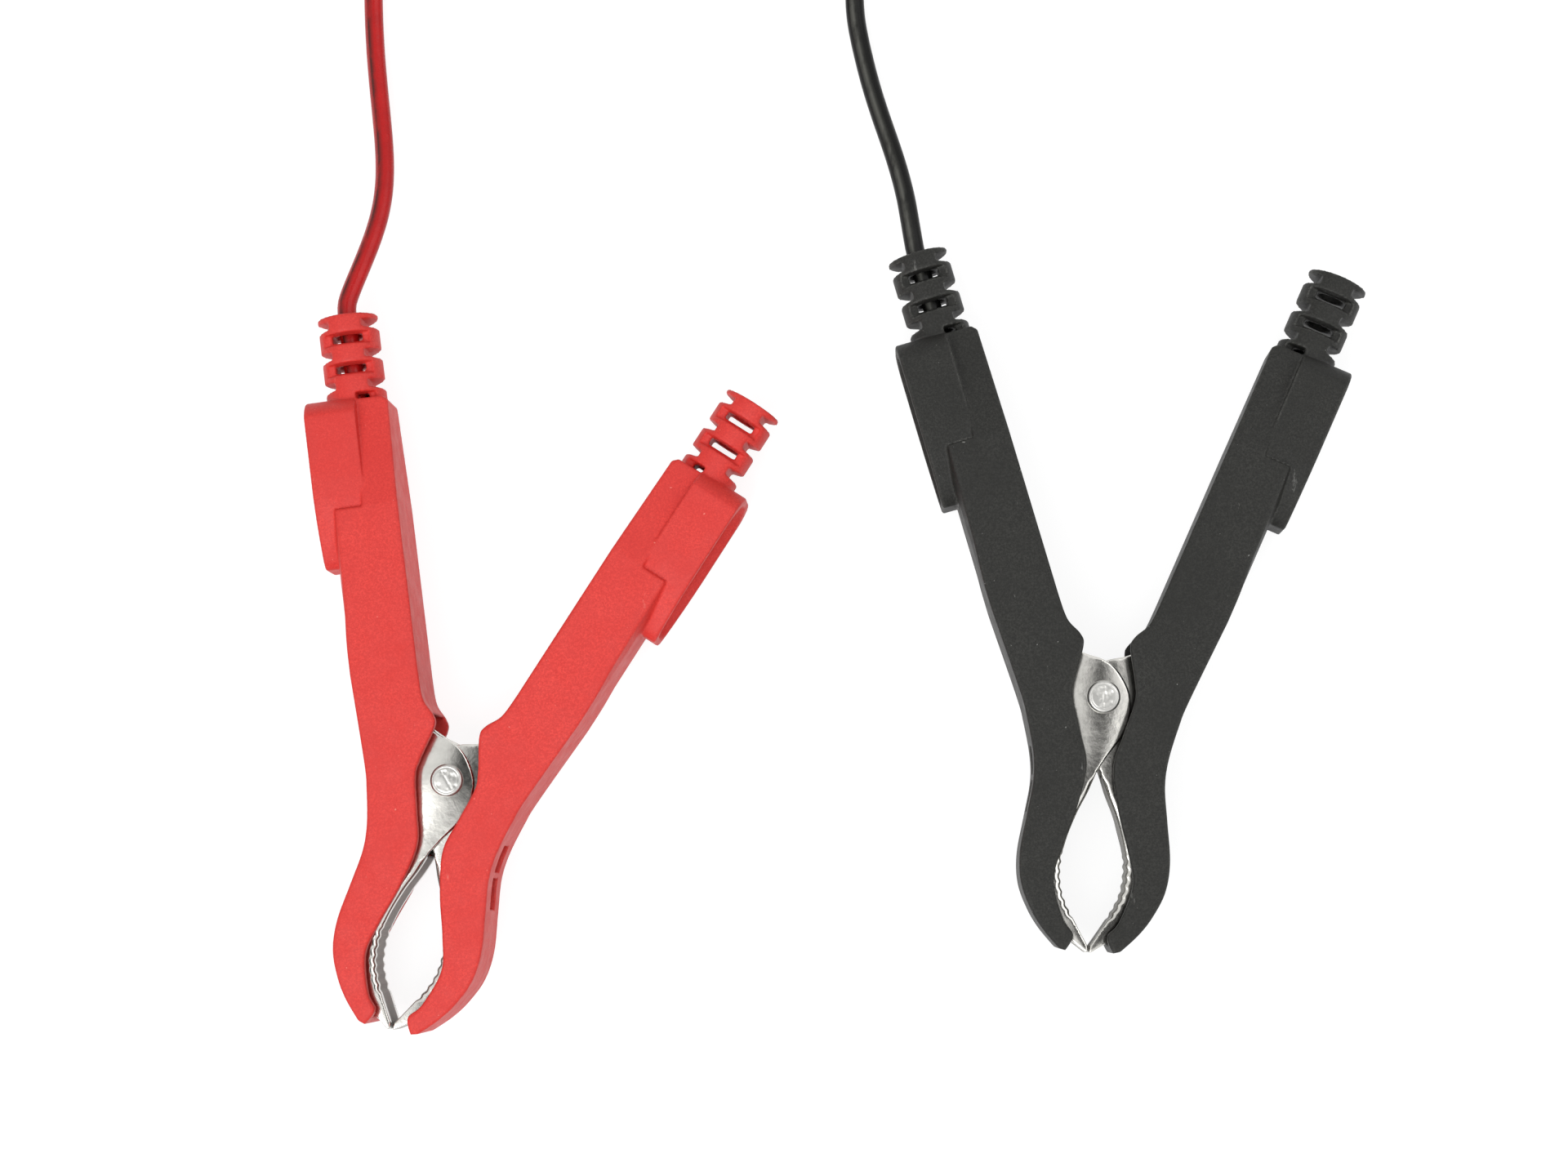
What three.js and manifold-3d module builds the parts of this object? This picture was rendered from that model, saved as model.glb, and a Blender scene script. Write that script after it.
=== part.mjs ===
// The output leads of a car battery charger: a red and a black spring clamp, each
// on its own single lead, with both leads ending in one two-pole connector.
// Millimetres, +Z up. The clamps lie on their backs, handles towards +Y.
// The origin is on the surface they lie on, under the middle of the two clamps.

import * as THREE from 'three';
import { mergeVertices } from 'three/addons/utils/BufferGeometryUtils.js';
import Module from 'manifold-3d';

const wasm = await Module();
wasm.setup();

// ---------------------------------------------------------------- sizes

// Fits
const RUN = 0.3; // between pieces that move past or rest on each other
const PIN_FIT = 0.2; // all round the rivet's shank
const REACH = 1; // how far a cut or a joined piece runs past the face it meets
const HAIR = 0.01; // keeps a cut's face off the face beside it

// Plastic covers. Outlines are seen from the front, with the clamp's own axis
// upwards through the rivet. "out" is the distance to the left of that axis.
const COVER_HALF = 7.9; // half the cover's thickness
const FACE_WALL = 2.0; // front and back walls
const SIDE_WALL = 1.8; // outer and inner walls
const HANDLE_ANGLE = 20.1; // degrees from the clamp's axis to a handle
const HANDLE_IN = 2.2; // the handle's inner side, from the rivet's centre line
const HANDLE_OUT = 12.75; // the handle's outer side
const HANDLE_TOP = 61.4; // along the handle, from the rivet
const CORNER_CUT = 0.8; // the chamfer at the handle's inner top corner
const POCKET_TOP = 41; // where the wide hollow for the steel ends
const POCKET_FOOT = 13; // along the handle, where the hollow's inner side ends
const POCKET_MOUTH = 7.3; // out from the clamp's axis, where it opens towards the gap
const CHANNEL_HALF = 3.9; // half the depth of the hollow above it
const CHANNEL_WALL = 2.4; // inner wall beside that hollow
const TOP_WALL = 2.4;
const OPEN_BELOW = 9.5; // below this height the cover is open towards the gap
const PAST_AXIS = 8; // how far that opening's cut reaches past the clamp's axis

// Inner and outer edges of the jaw half of the cover: [out, up] from the rivet
const EDGE_IN = [
  [6.3, 11.5], [4.2, 9.4], [3.6, 7.6], [4.6, 2.5], [4.75, -0.5], [3.3, -5.7], [2.05, -10.7],
  [3.1, -17.1], [5.0, -23.5], [6.0, -28.6], [4.3, -34.2], [2.6, -36.6], [3.6, -39.0],
];
const EDGE_OUT = [
  [12.95, 0], [11.65, -3.9], [10.35, -9.2], [10.05, -13.4], [10.7, -18.6], [11.45, -24.6],
  [11.0, -29.2], [9.3, -33.1], [7.3, -36.0], [4.7, -38.7],
];
const EDGE_IN_FROM = 17; // along the handle, where the inner edge starts to curve
const EDGE_OUT_FROM = 18; // the same for the outer edge
const EDGE_IN_STEPS = 26;
const EDGE_OUT_STEPS = 14;

// Finger pad: a block across the top of the handle with a dished outer face. Below the
// shelf it gets thinner towards its lower end.
const PAD_FROM = 35.2;
const PAD_TOP = 61.9;
const PAD_IN = 7.2;
const PAD_OUT = 15.3;
const PAD_HALF = 7.5;
const PAD_CORNER = 3.2;
const PAD_FOOT_HALF = 4.4; // half the pad's thickness at its lower end
const PAD_FOOT_CUT = 0.9; // the chamfers there
const DISH_RIM = 1.0;
const DISH_DEPTH = 1.1;
const DISH_STEP = 0.55; // the dish's floor is this much smaller all round than its mouth
const DISH_FLAT = 0.6; // half the straight stretch across the dish's ends

// Above the shelf the handle is as thin as the pad, and the strip beside the pad slopes
// down from the handle's face
const SHELF_FROM = 44;
const SLOPE_DROP = 3.0;

// Snap windows through the outer wall, beside the jaw: [from, to] below the rivet
const WINDOWS = [[-7.9, -12.2], [-13.2, -18.0]];
const WINDOW_HALF = 2.6;
const WINDOW_IN = 8.4; // out from the clamp's axis, where a window reaches the hollow

// Slotted strain relief on top of each handle
const RELIEF_AXIS = 7.7; // the same line as the lead's, from the handle's own line
const RELIEF_RADIUS = 4.75;
const RELIEF_LENGTH = 13.8;
const RELIEF_FIT = 0.5; // between the lead and the bore
const DISC = 0.95; // the end disc
const SLOT = 1.2; // slots in the sides
const WEB_SLOT = 1.25; // slots in front and back
const SLOT_PITCH = 4.85; // from one side slot to the next
const SIDE_SLOTS = 3;
const SIDE_NECK = 2.55; // half width left by a side slot
const FRONT_SLOT_HALF = 2.4;
const FRONT_SLOT_OFFSET = 2.1; // from a side slot to the front slot after it

// Steel jaws: channels of sheet whose webs face the gap and, in the handles, each
// other. Between the webs, the flanges form ears round the rivet.
const SHEET = 0.8;
const OUTER_JAW_HALF = COVER_HALF - FACE_WALL - RUN; // the left jaw's ears lie outside
const INNER_JAW_HALF = OUTER_JAW_HALF - SHEET - RUN; // the right jaw's ears, inside them
const FLANGE_TOP = 30; // along the handle
const TAIL_TOP = 38.5; // the web's end, beside the ferrule
const STEEL_FOOT = 14; // along the handle, where the flanges turn into the ears
const HANDLE_WEB_FROM = 17; // along the handle
const JAW_WEB = [-12, -34.5]; // [from, to] below the rivet
const EAR = [
  [6.6, 8.1], [3.1, 6.6], [0.6, 5.95], [-1.3, 4.85], [-2.9, 3.0], [-4.05, 0.6], [-4.3, -2.5],
  [-3.5, -5.4], [-1.25, -8.8],
];
const GAP_EDGE = [
  [0.3, -11.4], [1.45, -14.6], [3.0, -18.1], [4.45, -22.6], [4.9, -26.4], [4.5, -30.0],
  [3.1, -33.2], [1.5, -36.0],
];
const GAP_STEPS = 44;
const TEETH_FROM = -23.4;
const TEETH_TO = -34.2;
const TOOTH = 0.3; // how deep the ridges across the web are
const JAW_TOUCH = 0.15; // from the tip to the clamp's axis
const TIP_LEVEL = -39.3;
const BEAK_LEVEL = -38.2;

// Ribs on the inside of the right cover, which hold the narrower right jaw
const RIB_SPANS = [[17, 28, 6.4, 9.6]]; // along and across the handle
const RIB_JAW = [[7.4, -19.5], [9.0, -19.5], [9.6, -29.5], [7.8, -29.5]];

// Rivet
const SHANK = 1.5; // radius
const HEAD = 2.55; // radius
const HEAD_HEIGHT = 1.0;
const HEAD_BEVEL = 0.4;

// Torsion spring round the rivet
const WIRE = 0.7; // radius
const SPRING_SLACK = 0.5; // between the shank and the wire
const SPRING_RADIUS = SHANK + SPRING_SLACK + WIRE;
const SPRING_FIT = 0.2; // from the wire to the inner pair of ears
const SPRING_PITCH = 1.6; // as near to this as whole turns allow
const SPRING_LEG_BEND = 17.5; // along the handle, where a leg meets the cover's wall
const SPRING_LEG_END = 26;
const SPRING_SIDES = 5;
const SPRING_STEPS = 8; // to a turn
const SPRING_LEG_STEPS = 12; // for both legs together

// Leads
const LEAD = 1.5; // radius
const CORE = 0.8; // radius of the bare conductor
const FERRULE_WALL = 0.65;
const FERRULE = CORE + RUN + FERRULE_WALL; // radius
const FERRULE_FIT = 0.35; // from the ferrule to the jaw's tail
const FERRULE_SPAN = [31.5, 37.5]; // along the handle
const CORE_INSET = 0.6; // from the ferrule's mouth to the conductor's end
const BARE = 1.5; // length of conductor between the ferrule and the insulation
const STRIPPED_AT = FERRULE_SPAN[1] + BARE;
const STEEL_IN = RELIEF_AXIS - FERRULE - FERRULE_FIT - SHEET; // the channel's inner side
const STUB = 3; // a lead runs straight for this length where it meets something
const EXIT_STUB = 1; // and for this length past the strain relief, which holds it straight
const LEAD_SIDES = 8;
const LEAD_STEPS = 34; // from the clamp to the coil
const TAIL_STEPS = 14; // from the coil to the connector

// Coils and their ties
const COIL_OUT = 21; // centre line of the outermost turn
const TURN_GAP = 0.48; // between turns side by side, and between layers
const TURN_PITCH = 2 * LEAD + TURN_GAP;
const TIE_THICK = 0.6;
const TIE_WIDTH = 6;
const TIE_CORNER = 1.6;
const LOOP_STEPS = 24; // to a turn
const LOOP_SIDES = 6;

// Two-pole connector
const POLE_SPACING = 8;
const SHELL_WIDTH = 16.4;
const SHELL_HEIGHT = 8.4;
const SHELL_LENGTH = 19;
const SHELL_CORNER = 3.2;
const BOOT_LENGTH = 6.5;
const BOOT_BASE = 3.0;
const BOOT_END = 2.1;
const SLEEVE_LENGTH = 12.5;
const SLEEVE_WALL = 1.25;
const SOCKET_ROOM = 0.35; // between the socket and its sleeve
const SOCKET_RADIUS = 2.1;
const SLEEVE_BORE = SOCKET_RADIUS + SOCKET_ROOM; // radius
const SLEEVE_RADIUS = SLEEVE_BORE + SLEEVE_WALL;
const SOCKET_BORE = 1.3;
const SOCKET_LENGTH = 11;
const PIN_RADIUS = 1.9;
const PIN_LENGTH = 11.5;
const PIN_TIP = 1.05; // radius
const PIN_TAPER = 1.2;
const SOCKET_FLOOR = 2; // what is left of the socket behind its bore
const CONTACT_SEAT = 5; // how deep a contact sits in the shell

// How many flat sides the round pieces have
const FINE_SIDES = 20;
const ROUND_SIDES = 16;
const BORE_SIDES = 12;

// Where things lie
const TABLE = 0;
const COIL_LEVEL = TABLE + TIE_THICK + RUN + LEAD; // centre line of the lowest turns
const CLAMP_LEVEL = TABLE + COVER_HALF;
const CONNECTOR_AT = new THREE.Vector3(-12.3, 137.3, TABLE + SHELL_HEIGHT / 2);

// A lead's route lists the centre points between its clamp and its coil, and its
// tail lists those between the coil and the connector.
const SIDES = [
  {
    colour: 'red',
    paint: 0xd8382f,
    rivet: [-59.8, -22.7],
    lean: 12.4, // degrees, clockwise
    route: [
      [-77.6, 53.3, 7.9], [-77.1, 55, 7.85], [-76.4, 56.9, 7.75], [-75.1, 60.4, 7.4],
      [-73.9, 64, 6.9], [-73, 67.6, 6.3], [-72.5, 71.2, 5.7], [-72.4, 75, 5.1],
      [-72.7, 79.5, 4.4], [-73.3, 84.5, 3.7], [-74, 90, 3.1], [-74.6, 95.5, 2.65],
      [-75, 101, COIL_LEVEL], [-75.2, 107, COIL_LEVEL], [-75.2, 116, COIL_LEVEL],
      [-75.2, 126, COIL_LEVEL],
    ],
    coilCentre: [-54.2, 139.3],
    coilEntry: 180, // degrees
    coilTurns: -4.25, // clockwise
    tieAngle: 300,
    tail: [[-40.4, 160.5, 5.7], [-28, 159, 5.2], [-19.6, 154.2, 4.6]],
    pole: -1,
  },
  {
    colour: 'black',
    paint: 0x2b2b29,
    rivet: [41.4, -9.8],
    lean: 3.8,
    route: [
      [12.35, 62.6, 7.9], [12.05, 64.4, 7.8], [11.7, 66.6, 7.55], [11.15, 69.8, 7.1],
      [10.4, 73.1, 6.5], [9.5, 76.4, 5.85], [8.45, 79.8, 5.2], [7.35, 83.2, 4.5],
      [6.3, 86.6, 3.9], [5.35, 90, 3.4], [4.5, 93.5, 2.95], [3.7, 97.2, 2.6],
      [3.1, 101, COIL_LEVEL], [3, 105.2, COIL_LEVEL], [4, 109.3, COIL_LEVEL],
      [6.6, 113.2, COIL_LEVEL], [10.6, 116.2, COIL_LEVEL], [15.8, 117.8, COIL_LEVEL],
      [21.6, 118.25, COIL_LEVEL],
    ],
    coilCentre: [29.6, 139.3],
    coilEntry: 270,
    coilTurns: 4.5,
    tieAngle: 330,
    tail: [[15.6, 160.5, 5.7], [3.4, 159, 5.2], [-5, 154.2, 4.6]],
    pole: 1,
  },
];

// ---------------------------------------------------------------- helpers

const rad = THREE.MathUtils.degToRad;

function toSolid(geometry) {
  const bare = geometry.clone();
  bare.deleteAttribute('normal');
  bare.deleteAttribute('uv');
  const merged = mergeVertices(bare, 1e-4);
  return new wasm.Manifold(new wasm.Mesh({
    numProp: 3,
    vertProperties: new Float32Array(merged.attributes.position.array),
    triVerts: new Uint32Array(merged.index.array),
  }));
}

function toGeometry(solid) {
  const mesh = solid.getMesh();
  const geometry = new THREE.BufferGeometry();
  geometry.setAttribute('position', new THREE.BufferAttribute(mesh.vertProperties, 3));
  geometry.setIndex(new THREE.BufferAttribute(mesh.triVerts, 1));
  return geometry;
}

function mirrored(geometry) {
  const flipped = geometry.clone().scale(-1, 1, 1);
  const index = flipped.index.array;
  for (let i = 0; i < index.length; i += 3) {
    [index[i], index[i + 1]] = [index[i + 1], index[i]];
  }
  return flipped;
}

// A flat plate with this outline, between two heights
function plate(points, low, high) {
  const shape = new THREE.Shape(points.map(([x, y]) => new THREE.Vector2(x, y)));
  const geometry = new THREE.ExtrudeGeometry(shape, { depth: high - low, bevelEnabled: false });
  return toSolid(geometry.translate(0, 0, low));
}

function block(lowX, highX, lowY, highY, lowZ, highZ) {
  const geometry = new THREE.BoxGeometry(highX - lowX, highY - lowY, highZ - lowZ);
  geometry.translate((lowX + highX) / 2, (lowY + highY) / 2, (lowZ + highZ) / 2);
  return toSolid(geometry);
}

// A solid of revolution about Z from [radius, height] points, first and last on the axis
function turned(profile, sides) {
  return new THREE.LatheGeometry(profile.map(([r, z]) => new THREE.Vector2(r, z)), sides)
    .rotateX(Math.PI / 2);
}

function rod(radius, from, to, sides) {
  return turned([[0, from], [radius, from], [radius, to], [0, to]], sides);
}

function roundedRectangle(halfWidth, halfHeight, corner) {
  const shape = new THREE.Shape();
  const w = halfWidth - corner;
  const h = halfHeight - corner;
  shape.absarc(w, h, corner, 0, Math.PI / 2);
  shape.absarc(-w, h, corner, Math.PI / 2, Math.PI);
  shape.absarc(-w, -h, corner, Math.PI, 1.5 * Math.PI);
  shape.absarc(w, -h, corner, 1.5 * Math.PI, 2 * Math.PI);
  return shape;
}

// A round tube along a smooth line through the points
function tube(points, radius, sides, steps) {
  const path = new THREE.CatmullRomCurve3(points);
  const section = new THREE.Shape();
  for (let i = 0; i < sides; i += 1) {
    const turn = (2 * Math.PI * i) / sides;
    const move = i ? 'lineTo' : 'moveTo';
    section[move](radius * Math.cos(turn), radius * Math.sin(turn));
  }
  path.arcLengthDivisions = steps * 8;
  return new THREE.ExtrudeGeometry(section, { steps, extrudePath: path, bevelEnabled: false });
}

function splinePoints(points, steps) {
  const curve = new THREE.SplineCurve(points.map(([x, y]) => new THREE.Vector2(x, y)));
  return curve.getSpacedPoints(steps).map((p) => [p.x, p.y]);
}

// The same line, moved sideways to the right of its direction
function moved(points, distance) {
  return points.map(([x, y], i) => {
    const [x0, y0] = points[Math.max(i - 1, 0)];
    const [x1, y1] = points[Math.min(i + 1, points.length - 1)];
    const length = Math.hypot(x1 - x0, y1 - y0);
    return [x + ((y1 - y0) / length) * distance, y - ((x1 - x0) / length) * distance];
  });
}

// ---------------------------------------------------------------- one half of a clamp

const along = [-Math.sin(rad(HANDLE_ANGLE)), Math.cos(rad(HANDLE_ANGLE))];
const across = [-Math.cos(rad(HANDLE_ANGLE)), -Math.sin(rad(HANDLE_ANGLE))];

// A point of the left handle, from its distance along the handle and its distance outwards
function onHandle(u, n) {
  return [along[0] * u + across[0] * n, along[1] * u + across[1] * n];
}

// Turns a geometry drawn with X along the handle and Y outwards to its place
function placedOnHandle(geometry) {
  const matrix = new THREE.Matrix4().makeBasis(
    new THREE.Vector3(...along, 0),
    new THREE.Vector3(...across, 0),
    new THREE.Vector3(0, 0, 1),
  );
  return geometry.applyMatrix4(matrix);
}

function handlePlate(points, low, high) {
  return plate(points.map(([u, n]) => onHandle(u, n)), low, high);
}

const leftOf = ([out, up]) => [-out, up];

const innerEdge = splinePoints(
  [onHandle(EDGE_IN_FROM, HANDLE_IN), ...EDGE_IN.map(leftOf)],
  EDGE_IN_STEPS,
);
const outerEdge = splinePoints(
  [onHandle(EDGE_OUT_FROM, HANDLE_OUT), ...EDGE_OUT.map(leftOf)],
  EDGE_OUT_STEPS,
);

// The outer edge moved inwards, with its start kept parallel to the handle
function insideOuterEdge(distance) {
  const line = moved(outerEdge, -distance);
  line[0] = onHandle(EDGE_OUT_FROM, HANDLE_OUT - distance);
  return line;
}

function coverBody() {
  const outline = [
    onHandle(HANDLE_TOP - CORNER_CUT, HANDLE_IN),
    ...innerEdge,
    ...[...outerEdge].reverse(),
    onHandle(HANDLE_TOP, HANDLE_OUT),
    onHandle(HANDLE_TOP, HANDLE_IN + CORNER_CUT),
  ];
  return plate(outline, -COVER_HALF, COVER_HALF);
}

// What is cut from the front and back above the shelf: a thin layer over the pad's side,
// and a wedge beside it
function shelfCuts() {
  const cuts = [];
  for (const side of [-1, 1]) {
    const past = HANDLE_TOP + REACH;
    const layer = [PAD_HALF, COVER_HALF + REACH].map((z) => z * side).sort((a, b) => a - b);
    cuts.push(handlePlate(
      [[SHELF_FROM, PAD_IN - HAIR], [past, PAD_IN - HAIR], [past, HANDLE_OUT + REACH],
        [SHELF_FROM, HANDLE_OUT + REACH]],
      ...layer,
    ));
    const wedge = new THREE.Shape([
      new THREE.Vector2(SHELF_FROM, COVER_HALF * side),
      new THREE.Vector2(SHELF_FROM, (COVER_HALF + REACH) * side),
      new THREE.Vector2(past, (COVER_HALF + REACH) * side),
      new THREE.Vector2(past, (COVER_HALF - SLOPE_DROP) * side),
    ]);
    const depth = PAD_IN - HANDLE_IN + REACH;
    const geometry = new THREE.ExtrudeGeometry(wedge, { depth, bevelEnabled: false });
    geometry.rotateX(Math.PI / 2);
    geometry.translate(0, PAD_IN, 0);
    cuts.push(toSolid(placedOnHandle(geometry)));
  }
  return cuts;
}

// A solid whose outline is seen from outside the handle, between two distances outwards
function seenFromOutside(shape, nLow, nHigh, u) {
  const geometry = new THREE.ExtrudeGeometry(
    shape,
    { depth: nHigh - nLow, bevelEnabled: false, curveSegments: 4 },
  );
  geometry.rotateX(-Math.PI / 2);
  geometry.translate(u, nLow, 0);
  return toSolid(placedOnHandle(geometry));
}

// The pad's outline, or a line this far inside it, as X along the handle and Y across
function padOutline(inset) {
  const shape = new THREE.Shape();
  const top = PAD_TOP - PAD_CORNER;
  const side = PAD_HALF - PAD_CORNER;
  const half = PAD_HALF - inset;
  const foot = PAD_FROM + inset;
  const footHalf = PAD_FOOT_HALF - inset;
  shape.absarc(top, side, PAD_CORNER - inset, 0, Math.PI / 2);
  shape.lineTo(SHELF_FROM, half);
  shape.lineTo(foot + PAD_FOOT_CUT, footHalf);
  shape.lineTo(foot, footHalf - PAD_FOOT_CUT);
  shape.lineTo(foot, PAD_FOOT_CUT - footHalf);
  shape.lineTo(foot + PAD_FOOT_CUT, -footHalf);
  shape.lineTo(SHELF_FROM, -half);
  shape.absarc(top, -side, PAD_CORNER - inset, 1.5 * Math.PI, 2 * Math.PI);
  return shape;
}

function fingerPad() {
  const halfLength = (PAD_TOP - PAD_FROM) / 2;
  const middle = (PAD_TOP + PAD_FROM) / 2;
  const dish = (rim, low, high) => {
    const round = roundedRectangle(halfLength - rim, PAD_HALF - rim, PAD_HALF - rim - DISH_FLAT);
    return seenFromOutside(round, low, high, middle)
      .intersect(seenFromOutside(padOutline(rim), low, high, 0));
  };
  return seenFromOutside(padOutline(0), PAD_IN, PAD_OUT, 0)
    .subtract(dish(DISH_RIM, PAD_OUT - DISH_DEPTH / 2, PAD_OUT + REACH))
    .subtract(dish(DISH_RIM + DISH_STEP, PAD_OUT - DISH_DEPTH, PAD_OUT));
}

// A round rod along the handle, on the relief's axis
function alongHandle(radius, from, to, sides, n = RELIEF_AXIS) {
  const geometry = rod(radius, from, to, sides);
  geometry.rotateY(Math.PI / 2);
  geometry.translate(0, n, 0);
  return placedOnHandle(geometry);
}

const RELIEF_TOP = HANDLE_TOP + RELIEF_LENGTH;
const RELIEF_BORE = LEAD + RELIEF_FIT; // radius

function reliefSlots() {
  const cuts = [];
  const reach = RELIEF_RADIUS + REACH;
  for (let i = 0; i < SIDE_SLOTS; i += 1) {
    const top = RELIEF_TOP - DISC - i * SLOT_PITCH;
    for (const side of [-1, 1]) {
      const [a, b] = [SIDE_NECK * side, reach * side].sort((p, q) => p - q);
      cuts.push([top - SLOT, top, RELIEF_AXIS + a, RELIEF_AXIS + b, -reach, reach]);
    }
    const front = top - FRONT_SLOT_OFFSET;
    const bottom = Math.max(front - WEB_SLOT, HANDLE_TOP + HAIR);
    cuts.push([
      bottom, front, RELIEF_AXIS - FRONT_SLOT_HALF, RELIEF_AXIS + FRONT_SLOT_HALF, -reach, reach,
    ]);
  }
  return cuts.map(([u0, u1, n0, n1, z0, z1]) => {
    const points = [[u0, n0], [u1, n0], [u1, n1], [u0, n1]];
    return handlePlate(points, z0, z1);
  });
}

// The hollow that takes the steel jaw: closed in the handle, open to the gap below it
function pocket() {
  const outer = insideOuterEdge(SIDE_WALL);
  const last = outer[outer.length - 1];
  const inner = HANDLE_IN + SIDE_WALL;
  return plate([
    onHandle(POCKET_TOP, inner),
    onHandle(POCKET_FOOT, inner),
    [-POCKET_MOUTH, OPEN_BELOW],
    [PAST_AXIS, OPEN_BELOW],
    [PAST_AXIS, TIP_LEVEL - 2 * RUN - REACH],
    [0, TIP_LEVEL - 2 * RUN],
    last,
    ...outer.reverse().slice(1),
    onHandle(POCKET_TOP, HANDLE_OUT - SIDE_WALL),
  ], -COVER_HALF + FACE_WALL, COVER_HALF - FACE_WALL);
}

function upperHollow() {
  const inner = HANDLE_IN + CHANNEL_WALL;
  const outer = HANDLE_OUT - SIDE_WALL;
  const top = HANDLE_TOP - TOP_WALL;
  const foot = POCKET_TOP - REACH;
  const points = [[foot, inner], [top, inner], [top, outer], [foot, outer]];
  return handlePlate(points, -CHANNEL_HALF, CHANNEL_HALF);
}

function windowCuts() {
  const outside = EDGE_OUT[0][0] + REACH;
  return WINDOWS.map(([top, bottom]) => (
    block(-outside, -WINDOW_IN, bottom, top, -WINDOW_HALF, WINDOW_HALF)
  ));
}

function buildCover(hasRibs) {
  let cover = coverBody();
  for (const cut of shelfCuts()) {
    cover = cover.subtract(cut);
  }
  cover = cover.add(fingerPad());
  cover = cover.add(toSolid(alongHandle(RELIEF_RADIUS, HANDLE_TOP - REACH, RELIEF_TOP, ROUND_SIDES)));
  for (const cut of reliefSlots()) {
    cover = cover.subtract(cut);
  }
  const boreFrom = HANDLE_TOP - TOP_WALL - REACH;
  cover = cover
    .subtract(pocket())
    .subtract(upperHollow())
    .subtract(toSolid(alongHandle(RELIEF_BORE, boreFrom, RELIEF_TOP + REACH, BORE_SIDES)));
  for (const cut of windowCuts()) {
    cover = cover.subtract(cut);
  }
  if (hasRibs) {
    const low = INNER_JAW_HALF + RUN;
    const high = COVER_HALF - FACE_WALL + REACH / 2;
    const spans = RIB_SPANS.map(([u0, u1, n0, n1]) => (
      [[u0, n0], [u1, n0], [u1, n1], [u0, n1]].map(([u, n]) => onHandle(u, n))
    ));
    for (const outline of [...spans, RIB_JAW.map(leftOf)]) {
      cover = cover.add(plate(outline, low, high)).add(plate(outline, -high, -low));
    }
  }
  return toGeometry(cover);
}

const gapEdge = splinePoints(GAP_EDGE.map(leftOf), GAP_STEPS);

// The gap edge or a line beside it, with every other point between the teeth set back
function ridged(line) {
  return line.map(([x, y], i) => {
    const level = gapEdge[i][1];
    const isToothed = level < TEETH_FROM && level > TEETH_TO;
    return isToothed && i % 2 ? [x - TOOTH, y] : [x, y];
  });
}

function buildJaw(halfWidth) {
  const outer = insideOuterEdge(SIDE_WALL + RUN);
  const [noseX, noseY] = outer[outer.length - 1];
  const flange = [
    onHandle(FLANGE_TOP, STEEL_IN),
    onHandle(STEEL_FOOT, STEEL_IN),
    ...EAR.map(leftOf),
    ...ridged(gapEdge),
    [-JAW_TOUCH, BEAK_LEVEL],
    [-JAW_TOUCH, TIP_LEVEL],
    ...[...outer].reverse(),
    onHandle(FLANGE_TOP, HANDLE_OUT - SIDE_WALL - RUN),
  ];
  const inJawWeb = (point, i) => gapEdge[i][1] < JAW_WEB[0] && gapEdge[i][1] > JAW_WEB[1];
  const jawWeb = [
    ...ridged(gapEdge).filter(inJawWeb),
    ...ridged(moved(gapEdge, SHEET)).filter(inJawWeb).reverse(),
  ];
  const nose = [
    [-JAW_TOUCH, TIP_LEVEL + SHEET], [-JAW_TOUCH, TIP_LEVEL], [noseX, noseY],
    [noseX, noseY + SHEET],
  ];
  const strip = (from, to) => [
    [from, STEEL_IN], [to, STEEL_IN], [to, STEEL_IN + SHEET], [from, STEEL_IN + SHEET],
  ];
  const pinHole = rod(SHANK + PIN_FIT, -halfWidth - REACH, halfWidth + REACH, FINE_SIDES);
  const webHalf = halfWidth - SHEET / 2;
  const tailHalf = FERRULE + SHEET;
  const jaw = plate(flange, -halfWidth, -halfWidth + SHEET)
    .add(plate(flange, halfWidth - SHEET, halfWidth))
    .subtract(toSolid(pinHole))
    .add(plate(jawWeb, -webHalf, webHalf))
    .add(plate(nose, -webHalf, webHalf))
    .add(handlePlate(strip(HANDLE_WEB_FROM, FLANGE_TOP), -webHalf, webHalf))
    .add(handlePlate(strip(FLANGE_TOP - REACH, TAIL_TOP), -tailHalf, tailHalf));
  return toGeometry(jaw);
}

function buildRivet() {
  const seat = OUTER_JAW_HALF + RUN / 2;
  const top = seat + HEAD_HEIGHT;
  const edge = HEAD - HEAD_BEVEL;
  const rim = top - HEAD_BEVEL;
  return turned([
    [0, -top], [edge, -top], [HEAD, -rim], [HEAD, -seat], [SHANK, -seat],
    [SHANK, seat], [HEAD, seat], [HEAD, rim], [edge, top], [0, top],
  ], FINE_SIDES);
}

// A leg comes off the coil at a tangent, bends on the cover's outer wall and lies along it
function springLeg(side, level) {
  const rest = HANDLE_OUT - SIDE_WALL - RUN - WIRE;
  const [bx, by] = onHandle(SPRING_LEG_BEND, rest);
  const [ex, ey] = onHandle(SPRING_LEG_END, rest);
  const distance = Math.hypot(bx, by);
  const angle = Math.atan2(by, bx) + Math.acos(SPRING_RADIUS / distance);
  const leaves = [SPRING_RADIUS * Math.cos(angle), SPRING_RADIUS * Math.sin(angle)];
  const points = [leaves, [bx, by], [ex, ey]];
  return {
    angle: side < 0 ? angle : Math.PI - angle,
    points: points.map(([x, y]) => new THREE.Vector3(-side * x, y, level)),
  };
}

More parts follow.
